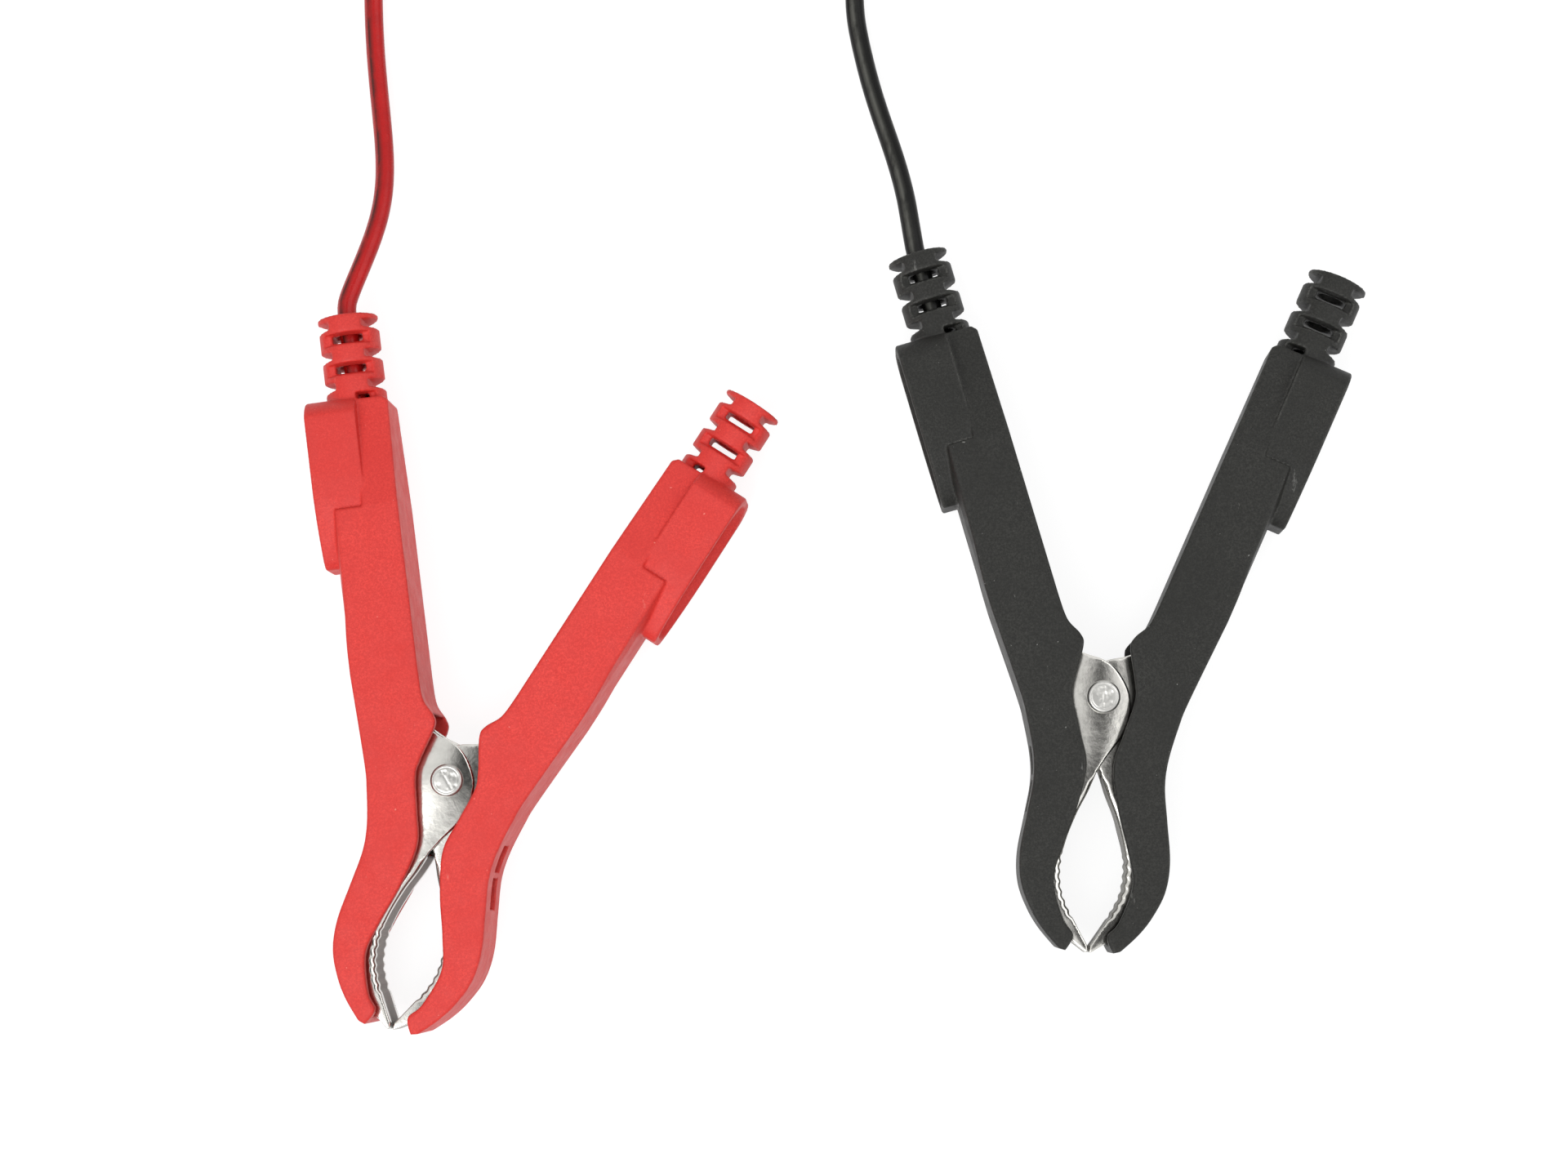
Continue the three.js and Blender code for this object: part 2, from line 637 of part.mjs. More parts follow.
function buildSpring() {
  const half = INNER_JAW_HALF - SHEET - SPRING_FIT - WIRE;
  const left = springLeg(-1, -half);
  const right = springLeg(1, half);
  const fullTurn = 2 * Math.PI;
  const part = THREE.MathUtils.euclideanModulo(right.angle - left.angle, fullTurn) / fullTurn;
  const turns = Math.round((2 * half) / SPRING_PITCH - part) + part;
  const steps = Math.round(turns * SPRING_STEPS);
  const coil = [];
  for (let i = 1; i < steps; i += 1) {
    const angle = left.angle + (turns * fullTurn * i) / steps;
    const level = -half + (2 * half * i) / steps;
    coil.push(new THREE.Vector3(
      SPRING_RADIUS * Math.cos(angle), SPRING_RADIUS * Math.sin(angle), level,
    ));
  }
  const [leftStart, leftBend, leftEnd] = left.points;
  const [rightStart, rightBend, rightEnd] = right.points;
  const points = [
    leftEnd, leftBend, leftStart, ...coil, rightStart, rightBend, rightEnd,
  ];
  return tube(points, WIRE, SPRING_SIDES, steps + SPRING_LEG_STEPS);
}

const leadInside = () => alongHandle(LEAD, STRIPPED_AT, RELIEF_TOP - RUN, BORE_SIDES);
const bareCore = () => (
  alongHandle(CORE, FERRULE_SPAN[0] + CORE_INSET, STRIPPED_AT - RUN, BORE_SIDES)
);

function ferrule() {
  const [from, to] = FERRULE_SPAN;
  const barrel = toSolid(alongHandle(FERRULE, from, to, ROUND_SIDES));
  const bore = toSolid(alongHandle(CORE + RUN, from - REACH, to + REACH, BORE_SIDES));
  return toGeometry(barrel.subtract(bore));
}

// ---------------------------------------------------------------- materials

function material(colour, roughness, metalness) {
  return new THREE.MeshStandardMaterial({ color: colour, roughness, metalness });
}

const nickel = () => material(0xc9c7c2, 0.32, 1);
const springSteel = () => material(0x8d8c88, 0.35, 1);
const copper = () => material(0xb87346, 0.4, 1);
const tinned = () => material(0xb5b3ad, 0.4, 1);
const brass = () => material(0xc9a24f, 0.3, 1);
const tieFabric = () => material(0x30302e, 0.9, 0);
const darkPlastic = () => material(0x262625, 0.55, 0);

function piece(name, geometry, finish) {
  const mesh = new THREE.Mesh(geometry, finish);
  mesh.name = name;
  return mesh;
}

// ---------------------------------------------------------------- clamps

const leftCover = buildCover(false);
const rightCover = mirrored(buildCover(true));
const leftJaw = buildJaw(OUTER_JAW_HALF);
const rightJaw = mirrored(buildJaw(INNER_JAW_HALF));

function buildClamp({ colour, paint, rivet, lean }) {
  const clamp = new THREE.Group();
  const plastic = () => material(paint, 0.5, 0);
  clamp.add(
    piece(`${colour}_cover_left`, leftCover, plastic()),
    piece(`${colour}_cover_right`, rightCover, plastic()),
    piece(`${colour}_jaw_left`, leftJaw, nickel()),
    piece(`${colour}_jaw_right`, rightJaw, nickel()),
    piece(`${colour}_rivet`, buildRivet(), nickel()),
    piece(`${colour}_spring`, buildSpring(), springSteel()),
    piece(`${colour}_ferrule`, ferrule(), tinned()),
    piece(`${colour}_core`, bareCore(), copper()),
    piece(`${colour}_lead_inside`, leadInside(), plastic()),
  );
  clamp.position.set(...rivet, CLAMP_LEVEL);
  clamp.rotation.z = -rad(lean);
  clamp.updateMatrixWorld(true);
  return clamp;
}

// ---------------------------------------------------------------- leads

// The turns lie in two layers: in on the lower one, up in the half turn at the
// reversal, and out on the upper one.
function coilPoints({ coilCentre, coilEntry, coilTurns }) {
  const turns = Math.abs(coilTurns);
  const steps = Math.round(turns * LOOP_STEPS);
  const points = [];
  for (let i = 0; i <= steps; i += 1) {
    const done = (turns * i) / steps;
    const fromMiddle = done - turns / 2;
    const radius = COIL_OUT - TURN_PITCH * (turns / 2 - Math.abs(fromMiddle));
    const climb = THREE.MathUtils.smoothstep(fromMiddle, -0.25, 0.25);
    const angle = rad(coilEntry) + 2 * Math.PI * done * Math.sign(coilTurns);
    points.push(new THREE.Vector3(
      coilCentre[0] + radius * Math.cos(angle),
      coilCentre[1] + radius * Math.sin(angle),
      COIL_LEVEL + TURN_PITCH * climb,
    ));
  }
  return points;
}

// The least distance between surfaces of turns, past the stretch that joins them
function leastGap(points) {
  const apart = Math.round(LOOP_STEPS / 2);
  let least = Infinity;
  for (let i = 0; i < points.length; i += 1) {
    for (let j = i + apart; j < points.length; j += 1) {
      least = Math.min(least, points[i].distanceTo(points[j]));
    }
  }
  return least - 2 * LEAD;
}

function lengthOf(points) {
  return new THREE.CatmullRomCurve3(points).getLength();
}

// The point this far on from the end of a line, in its last direction
function beyond(from, to, distance) {
  return to.clone().add(to.clone().sub(from).normalize().multiplyScalar(distance));
}

function buildLead(side, clamp) {
  const { colour, paint, route, tail, pole } = side;
  const vinyl = () => material(paint, 0.45, 0);
  const mouth = (u) => {
    const [x, y] = onHandle(u, RELIEF_AXIS);
    return new THREE.Vector3(x, y, 0).applyMatrix4(clamp.matrixWorld);
  };
  const coil = coilPoints(side);
  const [first, second] = coil;
  const last = coil[coil.length - 1];
  const beforeLast = coil[coil.length - 2];
  const listed = (list) => list.map((p) => new THREE.Vector3(...p));

  const lead = [
    mouth(RELIEF_TOP),
    mouth(RELIEF_TOP + EXIT_STUB),
    ...listed(route),
    beyond(second, first, STUB + RUN),
    beyond(second, first, RUN),
  ];
  const entry = CONNECTOR_AT.clone().add(
    new THREE.Vector3((pole * POLE_SPACING) / 2, BOOT_LENGTH + RUN, 0),
  );
  const back = [
    beyond(beforeLast, last, RUN),
    beyond(beforeLast, last, STUB + RUN),
    ...listed(tail),
    entry.clone().add(new THREE.Vector3(0, STUB, 0)),
    entry,
  ];
  const whole = lengthOf(lead) + lengthOf(coil) + lengthOf(back);
  console.log(`${colour} lead: ${whole.toFixed(0)} mm`);
  console.log(`${colour} coil: least gap ${leastGap(coil).toFixed(2)} mm`);

  const group = new THREE.Group();
  group.add(
    piece(`${colour}_lead`, tube(lead, LEAD, LEAD_SIDES, LEAD_STEPS), vinyl()),
    piece(`${colour}_coil`, tube(coil, LEAD, LOOP_SIDES, coil.length - 1), vinyl()),
    piece(`${colour}_coil_tie`, buildTie(side), tieFabric()),
    piece(`${colour}_lead_tail`, tube(back, LEAD, LEAD_SIDES, TAIL_STEPS), vinyl()),
  );
  return group;
}

// A strap round all the turns at one place of the coil
function buildTie({ coilCentre, coilTurns, tieAngle }) {
  const innermost = COIL_OUT - (TURN_PITCH * Math.abs(coilTurns)) / 2;
  const bow = TIE_WIDTH ** 2 / (8 * innermost); // how far the inner turn bends within the strap
  const low = innermost - bow - LEAD - RUN;
  const high = COIL_OUT + LEAD + RUN;
  const halfWidth = (high - low) / 2;
  const halfHeight = (TURN_PITCH + 2 * LEAD) / 2 + RUN;
  const outline = roundedRectangle(
    halfWidth + TIE_THICK, halfHeight + TIE_THICK, TIE_CORNER + TIE_THICK,
  );
  outline.holes.push(roundedRectangle(halfWidth, halfHeight, TIE_CORNER));
  const strap = new THREE.ExtrudeGeometry(
    outline,
    { depth: TIE_WIDTH, bevelEnabled: false, curveSegments: 3 },
  );
  strap.translate(0, 0, -TIE_WIDTH / 2);
  strap.rotateX(Math.PI / 2);
  strap.translate((low + high) / 2, 0, 0);
  strap.rotateZ(rad(tieAngle));
  strap.translate(...coilCentre, COIL_LEVEL + TURN_PITCH / 2);
  return strap;
}

// ---------------------------------------------------------------- connector

// Drawn with Z along the connector: boots up, contacts down
function buildConnector() {
  const shape = roundedRectangle(SHELL_WIDTH / 2, SHELL_HEIGHT / 2, SHELL_CORNER);
  let shell = toSolid(new THREE.ExtrudeGeometry(
    shape,
    { depth: SHELL_LENGTH, bevelEnabled: false, curveSegments: 5 },
  ).translate(0, 0, -SHELL_LENGTH));
  const [left, right] = [-POLE_SPACING / 2, POLE_SPACING / 2];
  for (const x of [left, right]) {
    const boot = turned([
      [0, -REACH], [BOOT_BASE, -REACH], [BOOT_BASE, 0], [BOOT_END, BOOT_LENGTH],
      [0, BOOT_LENGTH],
    ], ROUND_SIDES);
    shell = shell.add(toSolid(boot.translate(x, 0, 0)));
  }
  const mouth = -SHELL_LENGTH - SLEEVE_LENGTH;
  const seat = -SHELL_LENGTH + CONTACT_SEAT;
  const sleeve = rod(SLEEVE_RADIUS, mouth, -SHELL_LENGTH + REACH, FINE_SIDES).translate(left, 0, 0);
  const socketBore = rod(SLEEVE_BORE, mouth - REACH, seat + RUN, ROUND_SIDES).translate(left, 0, 0);
  const pinBore = rod(PIN_RADIUS + RUN, -SHELL_LENGTH - REACH, seat + RUN, ROUND_SIDES);
  shell = shell
    .add(toSolid(sleeve))
    .subtract(toSolid(socketBore))
    .subtract(toSolid(pinBore.translate(right, 0, 0)));

  const socketEnd = -SHELL_LENGTH - SOCKET_LENGTH;
  const socket = toSolid(rod(SOCKET_RADIUS, socketEnd, seat, ROUND_SIDES))
    .subtract(toSolid(rod(SOCKET_BORE, socketEnd - REACH, seat - SOCKET_FLOOR, BORE_SIDES)));
  const pinEnd = -SHELL_LENGTH - PIN_LENGTH;
  const pin = turned([
    [0, pinEnd], [PIN_TIP, pinEnd], [PIN_RADIUS, pinEnd + PIN_TAPER],
    [PIN_RADIUS, seat], [0, seat],
  ], ROUND_SIDES);

  const group = new THREE.Group();
  group.add(
    piece('connector_shell', toGeometry(shell), darkPlastic()),
    piece('connector_socket', toGeometry(socket).translate(left, 0, 0), brass()),
    piece('connector_pin', pin.translate(right, 0, 0), brass()),
  );
  group.position.copy(CONNECTOR_AT);
  group.rotation.x = -Math.PI / 2;
  return group;
}

// ---------------------------------------------------------------- the whole

const model = new THREE.Group();
for (const side of SIDES) {
  const clamp = buildClamp(side);
  model.add(clamp, buildLead(side, clamp));
}
model.add(buildConnector());

export default model;
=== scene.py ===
"""Looks for the output leads of a car battery charger: a red and a black spring clamp on
single leads, and the two-pole connector in which both leads end.

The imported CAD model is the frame. Blender works in metres; sizes below are in
millimetres, as in the CAD source, and are turned into metres where a mesh is made.
"""

import math
import random

import bpy
import numpy as np
from mathutils import Matrix, Vector


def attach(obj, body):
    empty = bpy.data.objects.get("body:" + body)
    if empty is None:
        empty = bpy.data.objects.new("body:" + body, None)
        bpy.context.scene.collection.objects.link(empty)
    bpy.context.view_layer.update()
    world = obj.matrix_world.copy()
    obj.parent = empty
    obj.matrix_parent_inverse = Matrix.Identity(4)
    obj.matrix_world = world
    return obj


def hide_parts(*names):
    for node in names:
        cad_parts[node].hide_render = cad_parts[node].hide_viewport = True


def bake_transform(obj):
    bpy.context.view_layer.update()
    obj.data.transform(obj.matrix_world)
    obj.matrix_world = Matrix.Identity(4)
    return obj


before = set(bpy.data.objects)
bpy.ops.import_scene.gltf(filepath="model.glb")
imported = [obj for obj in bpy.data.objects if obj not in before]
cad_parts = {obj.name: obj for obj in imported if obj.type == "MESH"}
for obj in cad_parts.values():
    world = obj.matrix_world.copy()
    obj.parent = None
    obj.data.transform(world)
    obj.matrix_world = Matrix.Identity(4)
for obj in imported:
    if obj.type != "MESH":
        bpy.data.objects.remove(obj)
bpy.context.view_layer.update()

MM = 0.001

# ------------------------------------------------------------------ sizes, in mm

RUN = 0.3

# Plastic covers
COVER_HALF = 7.9
FACE_WALL = 2.0
SIDE_WALL = 1.8
HANDLE_ANGLE = 20.1
HANDLE_IN = 2.2
HANDLE_OUT = 12.75
HANDLE_TOP = 61.4
CORNER_CUT = 0.8
POCKET_TOP = 41
POCKET_FOOT = 13
POCKET_MOUTH = 7.3
CHANNEL_HALF = 3.9
CHANNEL_WALL = 2.4
TOP_WALL = 2.4
OPEN_BELOW = 9.5
EDGE_IN = [
    (6.3, 11.5), (4.2, 9.4), (3.6, 7.6), (4.6, 2.5), (4.75, -0.5), (3.3, -5.7), (2.05, -10.7),
    (3.1, -17.1), (5.0, -23.5), (6.0, -28.6), (4.3, -34.2), (2.6, -36.6), (3.6, -39.0),
]
EDGE_OUT = [
    (12.95, 0), (11.65, -3.9), (10.35, -9.2), (10.05, -13.4), (10.7, -18.6), (11.45, -24.6),
    (11.0, -29.2), (9.3, -33.1), (7.3, -36.0), (4.7, -38.7),
]
EDGE_IN_FROM = 17
EDGE_OUT_FROM = 18
PAD_FROM = 35.2
PAD_TOP = 61.9
PAD_IN = 7.2
PAD_OUT = 15.3
PAD_HALF = 7.5
PAD_CORNER = 3.2
PAD_ARC = 5.2
PAD_SAG = 0.55
PAD_FOOT_HALF = 4.4
PAD_FOOT_CUT = 0.9
PAD_TAPER_END = 49  # along the handle, where the pad reaches its full width
DISH_RIM = 1.0
DISH_DEPTH = 1.5
SHELF_FROM = 44
SLOPE_DROP = 3.0
WINDOWS = [(-7.9, -12.2), (-13.2, -18.0)]
WINDOW_HALF = 2.6
WINDOW_IN = 8.4
RELIEF_AXIS = 7.7
RELIEF_RADIUS = 4.75
RELIEF_LENGTH = 13.8
RELIEF_BORE = 2.0
RELIEF_TOP = HANDLE_TOP + RELIEF_LENGTH
DISC = 0.95
SLOT = 1.2
WEB_SLOT = 1.25
SLOT_PITCH = 4.85
SIDE_SLOTS = 3
SIDE_NECK = 2.55
FRONT_SLOT_HALF = 2.4
FRONT_SLOT_OFFSET = 2.1
RIB_SPAN = (17, 28, 6.4, 9.6)
RIB_JAW = [(7.4, -19.5), (9.0, -19.5), (9.6, -29.5), (7.8, -29.5)]
MOULD_EDGE = 0.38  # how round the moulded edges are
MOULD_CORNER = 0.12  # how round the edges of slots and steps are
DRAFT = (0.25, 0.85)  # how far a handle's outer edge leans in: at its foot, at the shelf
DRAFT_FROM = 21  # along the handle
DRAFT_FADE = 8  # the stretch over which it begins
DRAFT_HEIGHT = 2.2
RECESS_HALF = 3.5  # the strain relief's recesses round the slots in its front and back
RECESS_LENGTH = 1.75
RECESS_FLOOR = 2.75

# Steel
SHEET = 0.8
OUTER_JAW_HALF = COVER_HALF - FACE_WALL - RUN
INNER_JAW_HALF = OUTER_JAW_HALF - SHEET - RUN
FLANGE_TOP = 30
TAIL_TOP = 38.5
STEEL_IN = 4.8
STEEL_FOOT = 14
HANDLE_WEB_FROM = 17
JAW_WEB = (-12, -34.5)
EAR = [
    (6.6, 8.1), (3.1, 6.6), (0.6, 5.95), (-1.3, 4.85), (-2.9, 3.0), (-4.05, 0.6), (-4.3, -2.5),
    (-3.5, -5.4), (-1.25, -8.8),
]
GAP_EDGE = [
    (0.3, -11.4), (1.45, -14.6), (3.0, -18.1), (4.45, -22.6), (4.9, -26.4), (4.5, -30.0),
    (3.1, -33.2), (1.5, -36.0),
]
TEETH = (-23.4, -34.2)
TOOTH = 0.24
TOOTH_PITCH = 1.5
JAW_TOUCH = 0.15
TIP_LEVEL = -39.3
BEAK_LEVEL = -38.2
BEND = 0.75  # outer radius of the bend between a web and its flanges
CUT_EDGE = 0.1
WARP = 0.16  # how far the stamped faces fall away towards their edges
WARP_REACH = 3.2
BOW = (0.46, 0.3)  # how far they bow across and along the clamp
BOW_FROM = -0.5

# Rivet
SHANK = 1.5
PIN_FIT = 0.2
HEAD = 2.55
HEAD_HEIGHT = 1.0
HEAD_BEVEL = 0.4

# Spring
WIRE = 0.7
SPRING_RADIUS = 2.7
SPRING_FIT = 0.2
SPRING_PITCH = 1.6
SPRING_LEG_BEND = 17.5
SPRING_LEG_END = 26

# Leads
LEAD = 1.5
FERRULE = 1.75
STRIPPED_AT = 39
STUB = 3
EXIT_STUB = 1
COIL_OUT = 21
TURN_PITCH = 3.48
TURN_STEPS = 24
TIE_THICK = 0.6
TIE_WIDTH = 6
TIE_CORNER = 1.6

# Connector
POLE_SPACING = 8
SHELL_WIDTH = 16.4
SHELL_HEIGHT = 8.4
SHELL_LENGTH = 19
SHELL_CORNER = 3.2
BOOT_LENGTH = 6.5
BOOT_BASE = 3.0
BOOT_END = 2.1
SLEEVE_LENGTH = 12.5
SLEEVE_RADIUS = 3.7
SLEEVE_BORE = 2.45
SOCKET_RADIUS = 2.1
SOCKET_BORE = 1.3
SOCKET_LENGTH = 11
SOCKET_FLOOR = 2
PIN_RADIUS = 1.9
PIN_LENGTH = 11.5
PIN_TIP = 1.05
PIN_TAPER = 1.2
CONTACT_SEAT = 5

# Where things lie
COIL_LEVEL = TIE_THICK + RUN + LEAD
CLAMP_LEVEL = COVER_HALF
CONNECTOR_AT = Vector((-12.3, 137.3, SHELL_HEIGHT / 2))
SIDES = [
    {
        "colour": "red",
        "rivet": (-59.8, -22.7),
        "lean": 12.4,
        "route": [
            (-77.6, 53.3, 7.9), (-77.1, 55, 7.85), (-76.4, 56.9, 7.75), (-75.1, 60.4, 7.4),
            (-73.9, 64, 6.9), (-73, 67.6, 6.3), (-72.5, 71.2, 5.7), (-72.4, 75, 5.1),
            (-72.7, 79.5, 4.4), (-73.3, 84.5, 3.7), (-74, 90, 3.1), (-74.6, 95.5, 2.65),
            (-75, 101, COIL_LEVEL), (-75.2, 107, COIL_LEVEL), (-75.2, 116, COIL_LEVEL),
            (-75.2, 126, COIL_LEVEL),
        ],
        "coil_centre": (-54.2, 139.3),
        "coil_entry": 180,
        "coil_turns": -4.25,
        "tie_angle": 300,
        "tail": [(-40.4, 160.5, 5.7), (-28, 159, 5.2), (-19.6, 154.2, 4.6)],
        "pole": -1,
        "length": 0.598,
    },
    {
        "colour": "black",
        "rivet": (41.4, -9.8),
        "lean": 3.8,
        "route": [
            (12.35, 62.6, 7.9), (12.05, 64.4, 7.8), (11.7, 66.6, 7.55), (11.15, 69.8, 7.1),
            (10.4, 73.1, 6.5), (9.5, 76.4, 5.85), (8.45, 79.8, 5.2), (7.35, 83.2, 4.5),
            (6.3, 86.6, 3.9), (5.35, 90, 3.4), (4.5, 93.5, 2.95), (3.7, 97.2, 2.6),
            (3.1, 101, COIL_LEVEL), (3, 105.2, COIL_LEVEL), (4, 109.3, COIL_LEVEL),
            (6.6, 113.2, COIL_LEVEL), (10.6, 116.2, COIL_LEVEL), (15.8, 117.8, COIL_LEVEL),
            (21.6, 118.25, COIL_LEVEL),
        ],
        "coil_centre": (29.6, 139.3),
        "coil_entry": 270,
        "coil_turns": 4.5,
        "tie_angle": 330,
        "tail": [(15.6, 160.5, 5.7), (3.4, 159, 5.2), (-5, 154.2, 4.6)],
        "pole": 1,
        "length": 0.610,
    },
]

LEADS_BODY = "leads_and_left_halves"

# ------------------------------------------------------------------ camera

# Where the camera stands over the table, and what is in the middle of its frame
CAMERA_AT = Vector((12.0, -42.4, 499.0))
CAMERA_AIM = Vector((-7.69, 6.88, 15.8))
CAMERA_ROLL = 0.0024
LENS = 72.43


def make_camera():
    data = bpy.data.cameras.new("camera")
    data.lens = LENS
    data.clip_start = 0.01
    data.clip_end = 10
    camera = bpy.data.objects.new("camera", data)
    bpy.context.collection.objects.link(camera)
    camera.location = CAMERA_AT * MM
    back = (CAMERA_AT - CAMERA_AIM).normalized()
    right = Vector((0, 1, 0)).cross(back).normalized()
    level = Matrix((right, back.cross(right), back)).transposed()
    camera.rotation_mode = "QUATERNION"
    camera.rotation_quaternion = (level @ Matrix.Rotation(CAMERA_ROLL, 3, "Z")).to_quaternion()
    bpy.context.scene.camera = camera


make_camera()

# ------------------------------------------------------------------ lines and places

ALONG = (-math.sin(math.radians(HANDLE_ANGLE)), math.cos(math.radians(HANDLE_ANGLE)))
ACROSS = (-math.cos(math.radians(HANDLE_ANGLE)), -math.sin(math.radians(HANDLE_ANGLE)))


def on_handle(u, n):
    """A point of the left handle, from its distance along the handle and outwards."""
    return (ALONG[0] * u + ACROSS[0] * n, ALONG[1] * u + ACROSS[1] * n)


def handle_axes(x, y):
    """The distances of points along the left handle and outwards."""
    return ALONG[0] * x + ALONG[1] * y, ACROSS[0] * x + ACROSS[1] * y


def left_of(points):
    return [(-out, up) for out, up in points]


def smoothstep(share):
    share = np.clip(share, 0, 1)
    return share * share * (3 - 2 * share)


def wrapped(angle):
    """The same angle, within half a turn of zero."""
    return (angle + math.pi) % (2 * math.pi) - math.pi


def directions(line):
    ahead = np.gradient(line, axis=0)
    return ahead / np.linalg.norm(ahead, axis=1)[:, None]


def distances(line):
    """How far along a line each of its points is."""
    return np.concatenate([[0], np.cumsum(np.linalg.norm(np.diff(line, axis=0), axis=1))])


def spline(points, per_span):
    """A uniform Catmull-Rom curve through points of any dimension."""
    p = np.array(points, float)
    p = np.vstack([p[:1], p, p[-1:]])
    t = np.linspace(0, 1, per_span, endpoint=False)[:, None]
    spans = []
    for a, b, c, d in zip(p, p[1:], p[2:], p[3:]):
        v0, v1 = (c - a) / 2, (d - b) / 2
        cubic, square = 2 * b - 2 * c + v0 + v1, 3 * c - 3 * b - 2 * v0 - v1
        spans.append(cubic * t**3 + square * t**2 + v0 * t + b)
    return np.vstack([*spans, p[-1:]])


def smooth_line(points, step=0.8):
    """A centripetal Catmull-Rom curve through unevenly spaced points."""
    p = np.array(points, float)
    p = np.vstack([2 * p[0] - p[1], p, 2 * p[-1] - p[-2]])
    made = []
    for four in zip(p, p[1:], p[2:], p[3:]):
        chords = np.linalg.norm(np.diff(four, axis=0), axis=1)
        k = np.concatenate([[0], np.cumsum(np.sqrt(chords))])
        for t in np.linspace(k[1], k[2], max(2, int(chords[1] / step)), endpoint=False):
            mixed = four
            for reach in (1, 2):
                mixed = [
                    ((k[i + reach] - t) * a + (t - k[i]) * b) / (k[i + reach] - k[i])
                    for i, (a, b) in enumerate(zip(mixed, mixed[1:]))
                ]
            made.append(((k[2] - t) * mixed[0] + (t - k[1]) * mixed[1]) / (k[2] - k[1]))
    return np.array([*made, p[-2]])


def spaced(points, step):
    """Points this far apart along a line."""
    p = np.array(points, float)
    run = distances(p)
    where = np.linspace(0, run[-1], max(2, int(round(run[-1] / step)) + 1))
    return np.stack([np.interp(where, run, p[:, i]) for i in range(p.shape[1])], axis=1)


def moved(line, distance):
    """The same flat line, moved to the right of its direction."""
    ahead = directions(line)
    return line + distance * np.stack([ahead[:, 1], -ahead[:, 0]], axis=1)


def placed(at=(0, 0, 0), angle=0.0, axis="Z", mirrored=False):
    """From millimetres round a point, turned by degrees, to the row frame in metres."""
    turn = Matrix.Rotation(math.radians(angle), 4, axis)
    size = Matrix.Diagonal((-MM if mirrored else MM, MM, MM, 1))
    return Matrix.Translation(Vector(at) * MM) @ turn @ size


def clamp_place(side, mirrored=False):
    return placed((*side["rivet"], CLAMP_LEVEL), -side["lean"], mirrored=mirrored)


# ------------------------------------------------------------------ solid fields

# A field holds each grid point's distance to a surface, negative inside the solid. Points
# come as columns: x and y have one row for each column, and z has one row in all.


def line_field(line, x, y):
    p = np.array(line, float)
    best = np.full(x.shape, np.inf)
    for (x0, y0), (x1, y1) in zip(p, p[1:]):
        dx, dy = x1 - x0, y1 - y0
        t = np.clip(((x - x0) * dx + (y - y0) * dy) / (dx * dx + dy * dy or 1), 0, 1)
        best = np.minimum(best, (x - x0 - t * dx) ** 2 + (y - y0 - t * dy) ** 2)
    return np.sqrt(best)


def outline_field(outline, x, y):
    p = np.array([*outline, outline[0]], float)
    inside = np.zeros(x.shape, bool)
    for (x0, y0), (x1, y1) in zip(p, p[1:]):
        if y0 != y1:
            inside ^= ((y0 <= y) != (y1 <= y)) & (x < x0 + (y - y0) / (y1 - y0) * (x1 - x0))
    return np.where(inside, -1, 1) * line_field(p, x, y)


def span(value, low, high):
    """The field of the layer between two values."""
    return np.maximum(low - value, value - high)


def both(a, b, radius=0.0):
    """What two solids share, with its new edges rounded."""
    if np.isscalar(radius) and radius == 0:
        return np.maximum(a, b)
    over = np.hypot(np.maximum(a + radius, 0), np.maximum(b + radius, 0))
    return np.minimum(np.maximum(a, b), -radius) + over


def either(a, b, radius=0.0):
    return -both(-a, -b, radius)


def without(a, b, radius=0.0):
    return both(a, -b, radius)


def rounded_box(x, y, half_x, half_y, corner):
    dx = np.abs(x) - half_x + corner
    dy = np.abs(y) - half_y + corner
    outside = np.hypot(np.maximum(dx, 0), np.maximum(dy, 0))
    return outside + np.minimum(np.maximum(dx, dy), 0) - corner


def handle_box(u, n, u0, u1, n0, n1):
    return np.maximum(span(u, u0, u1), span(n, n0, n1))


# ------------------------------------------------------------------ meshes

FAR = 9.0  # the field where it isn't worked out
ENDS = (slice(0, -1), slice(1, None))


def part(choice):
    """The index of a grid without its last (0) or first (1) layer along the chosen axes."""
    return tuple(ENDS[choice[i]] if i in choice else slice(None) for i in range(3))


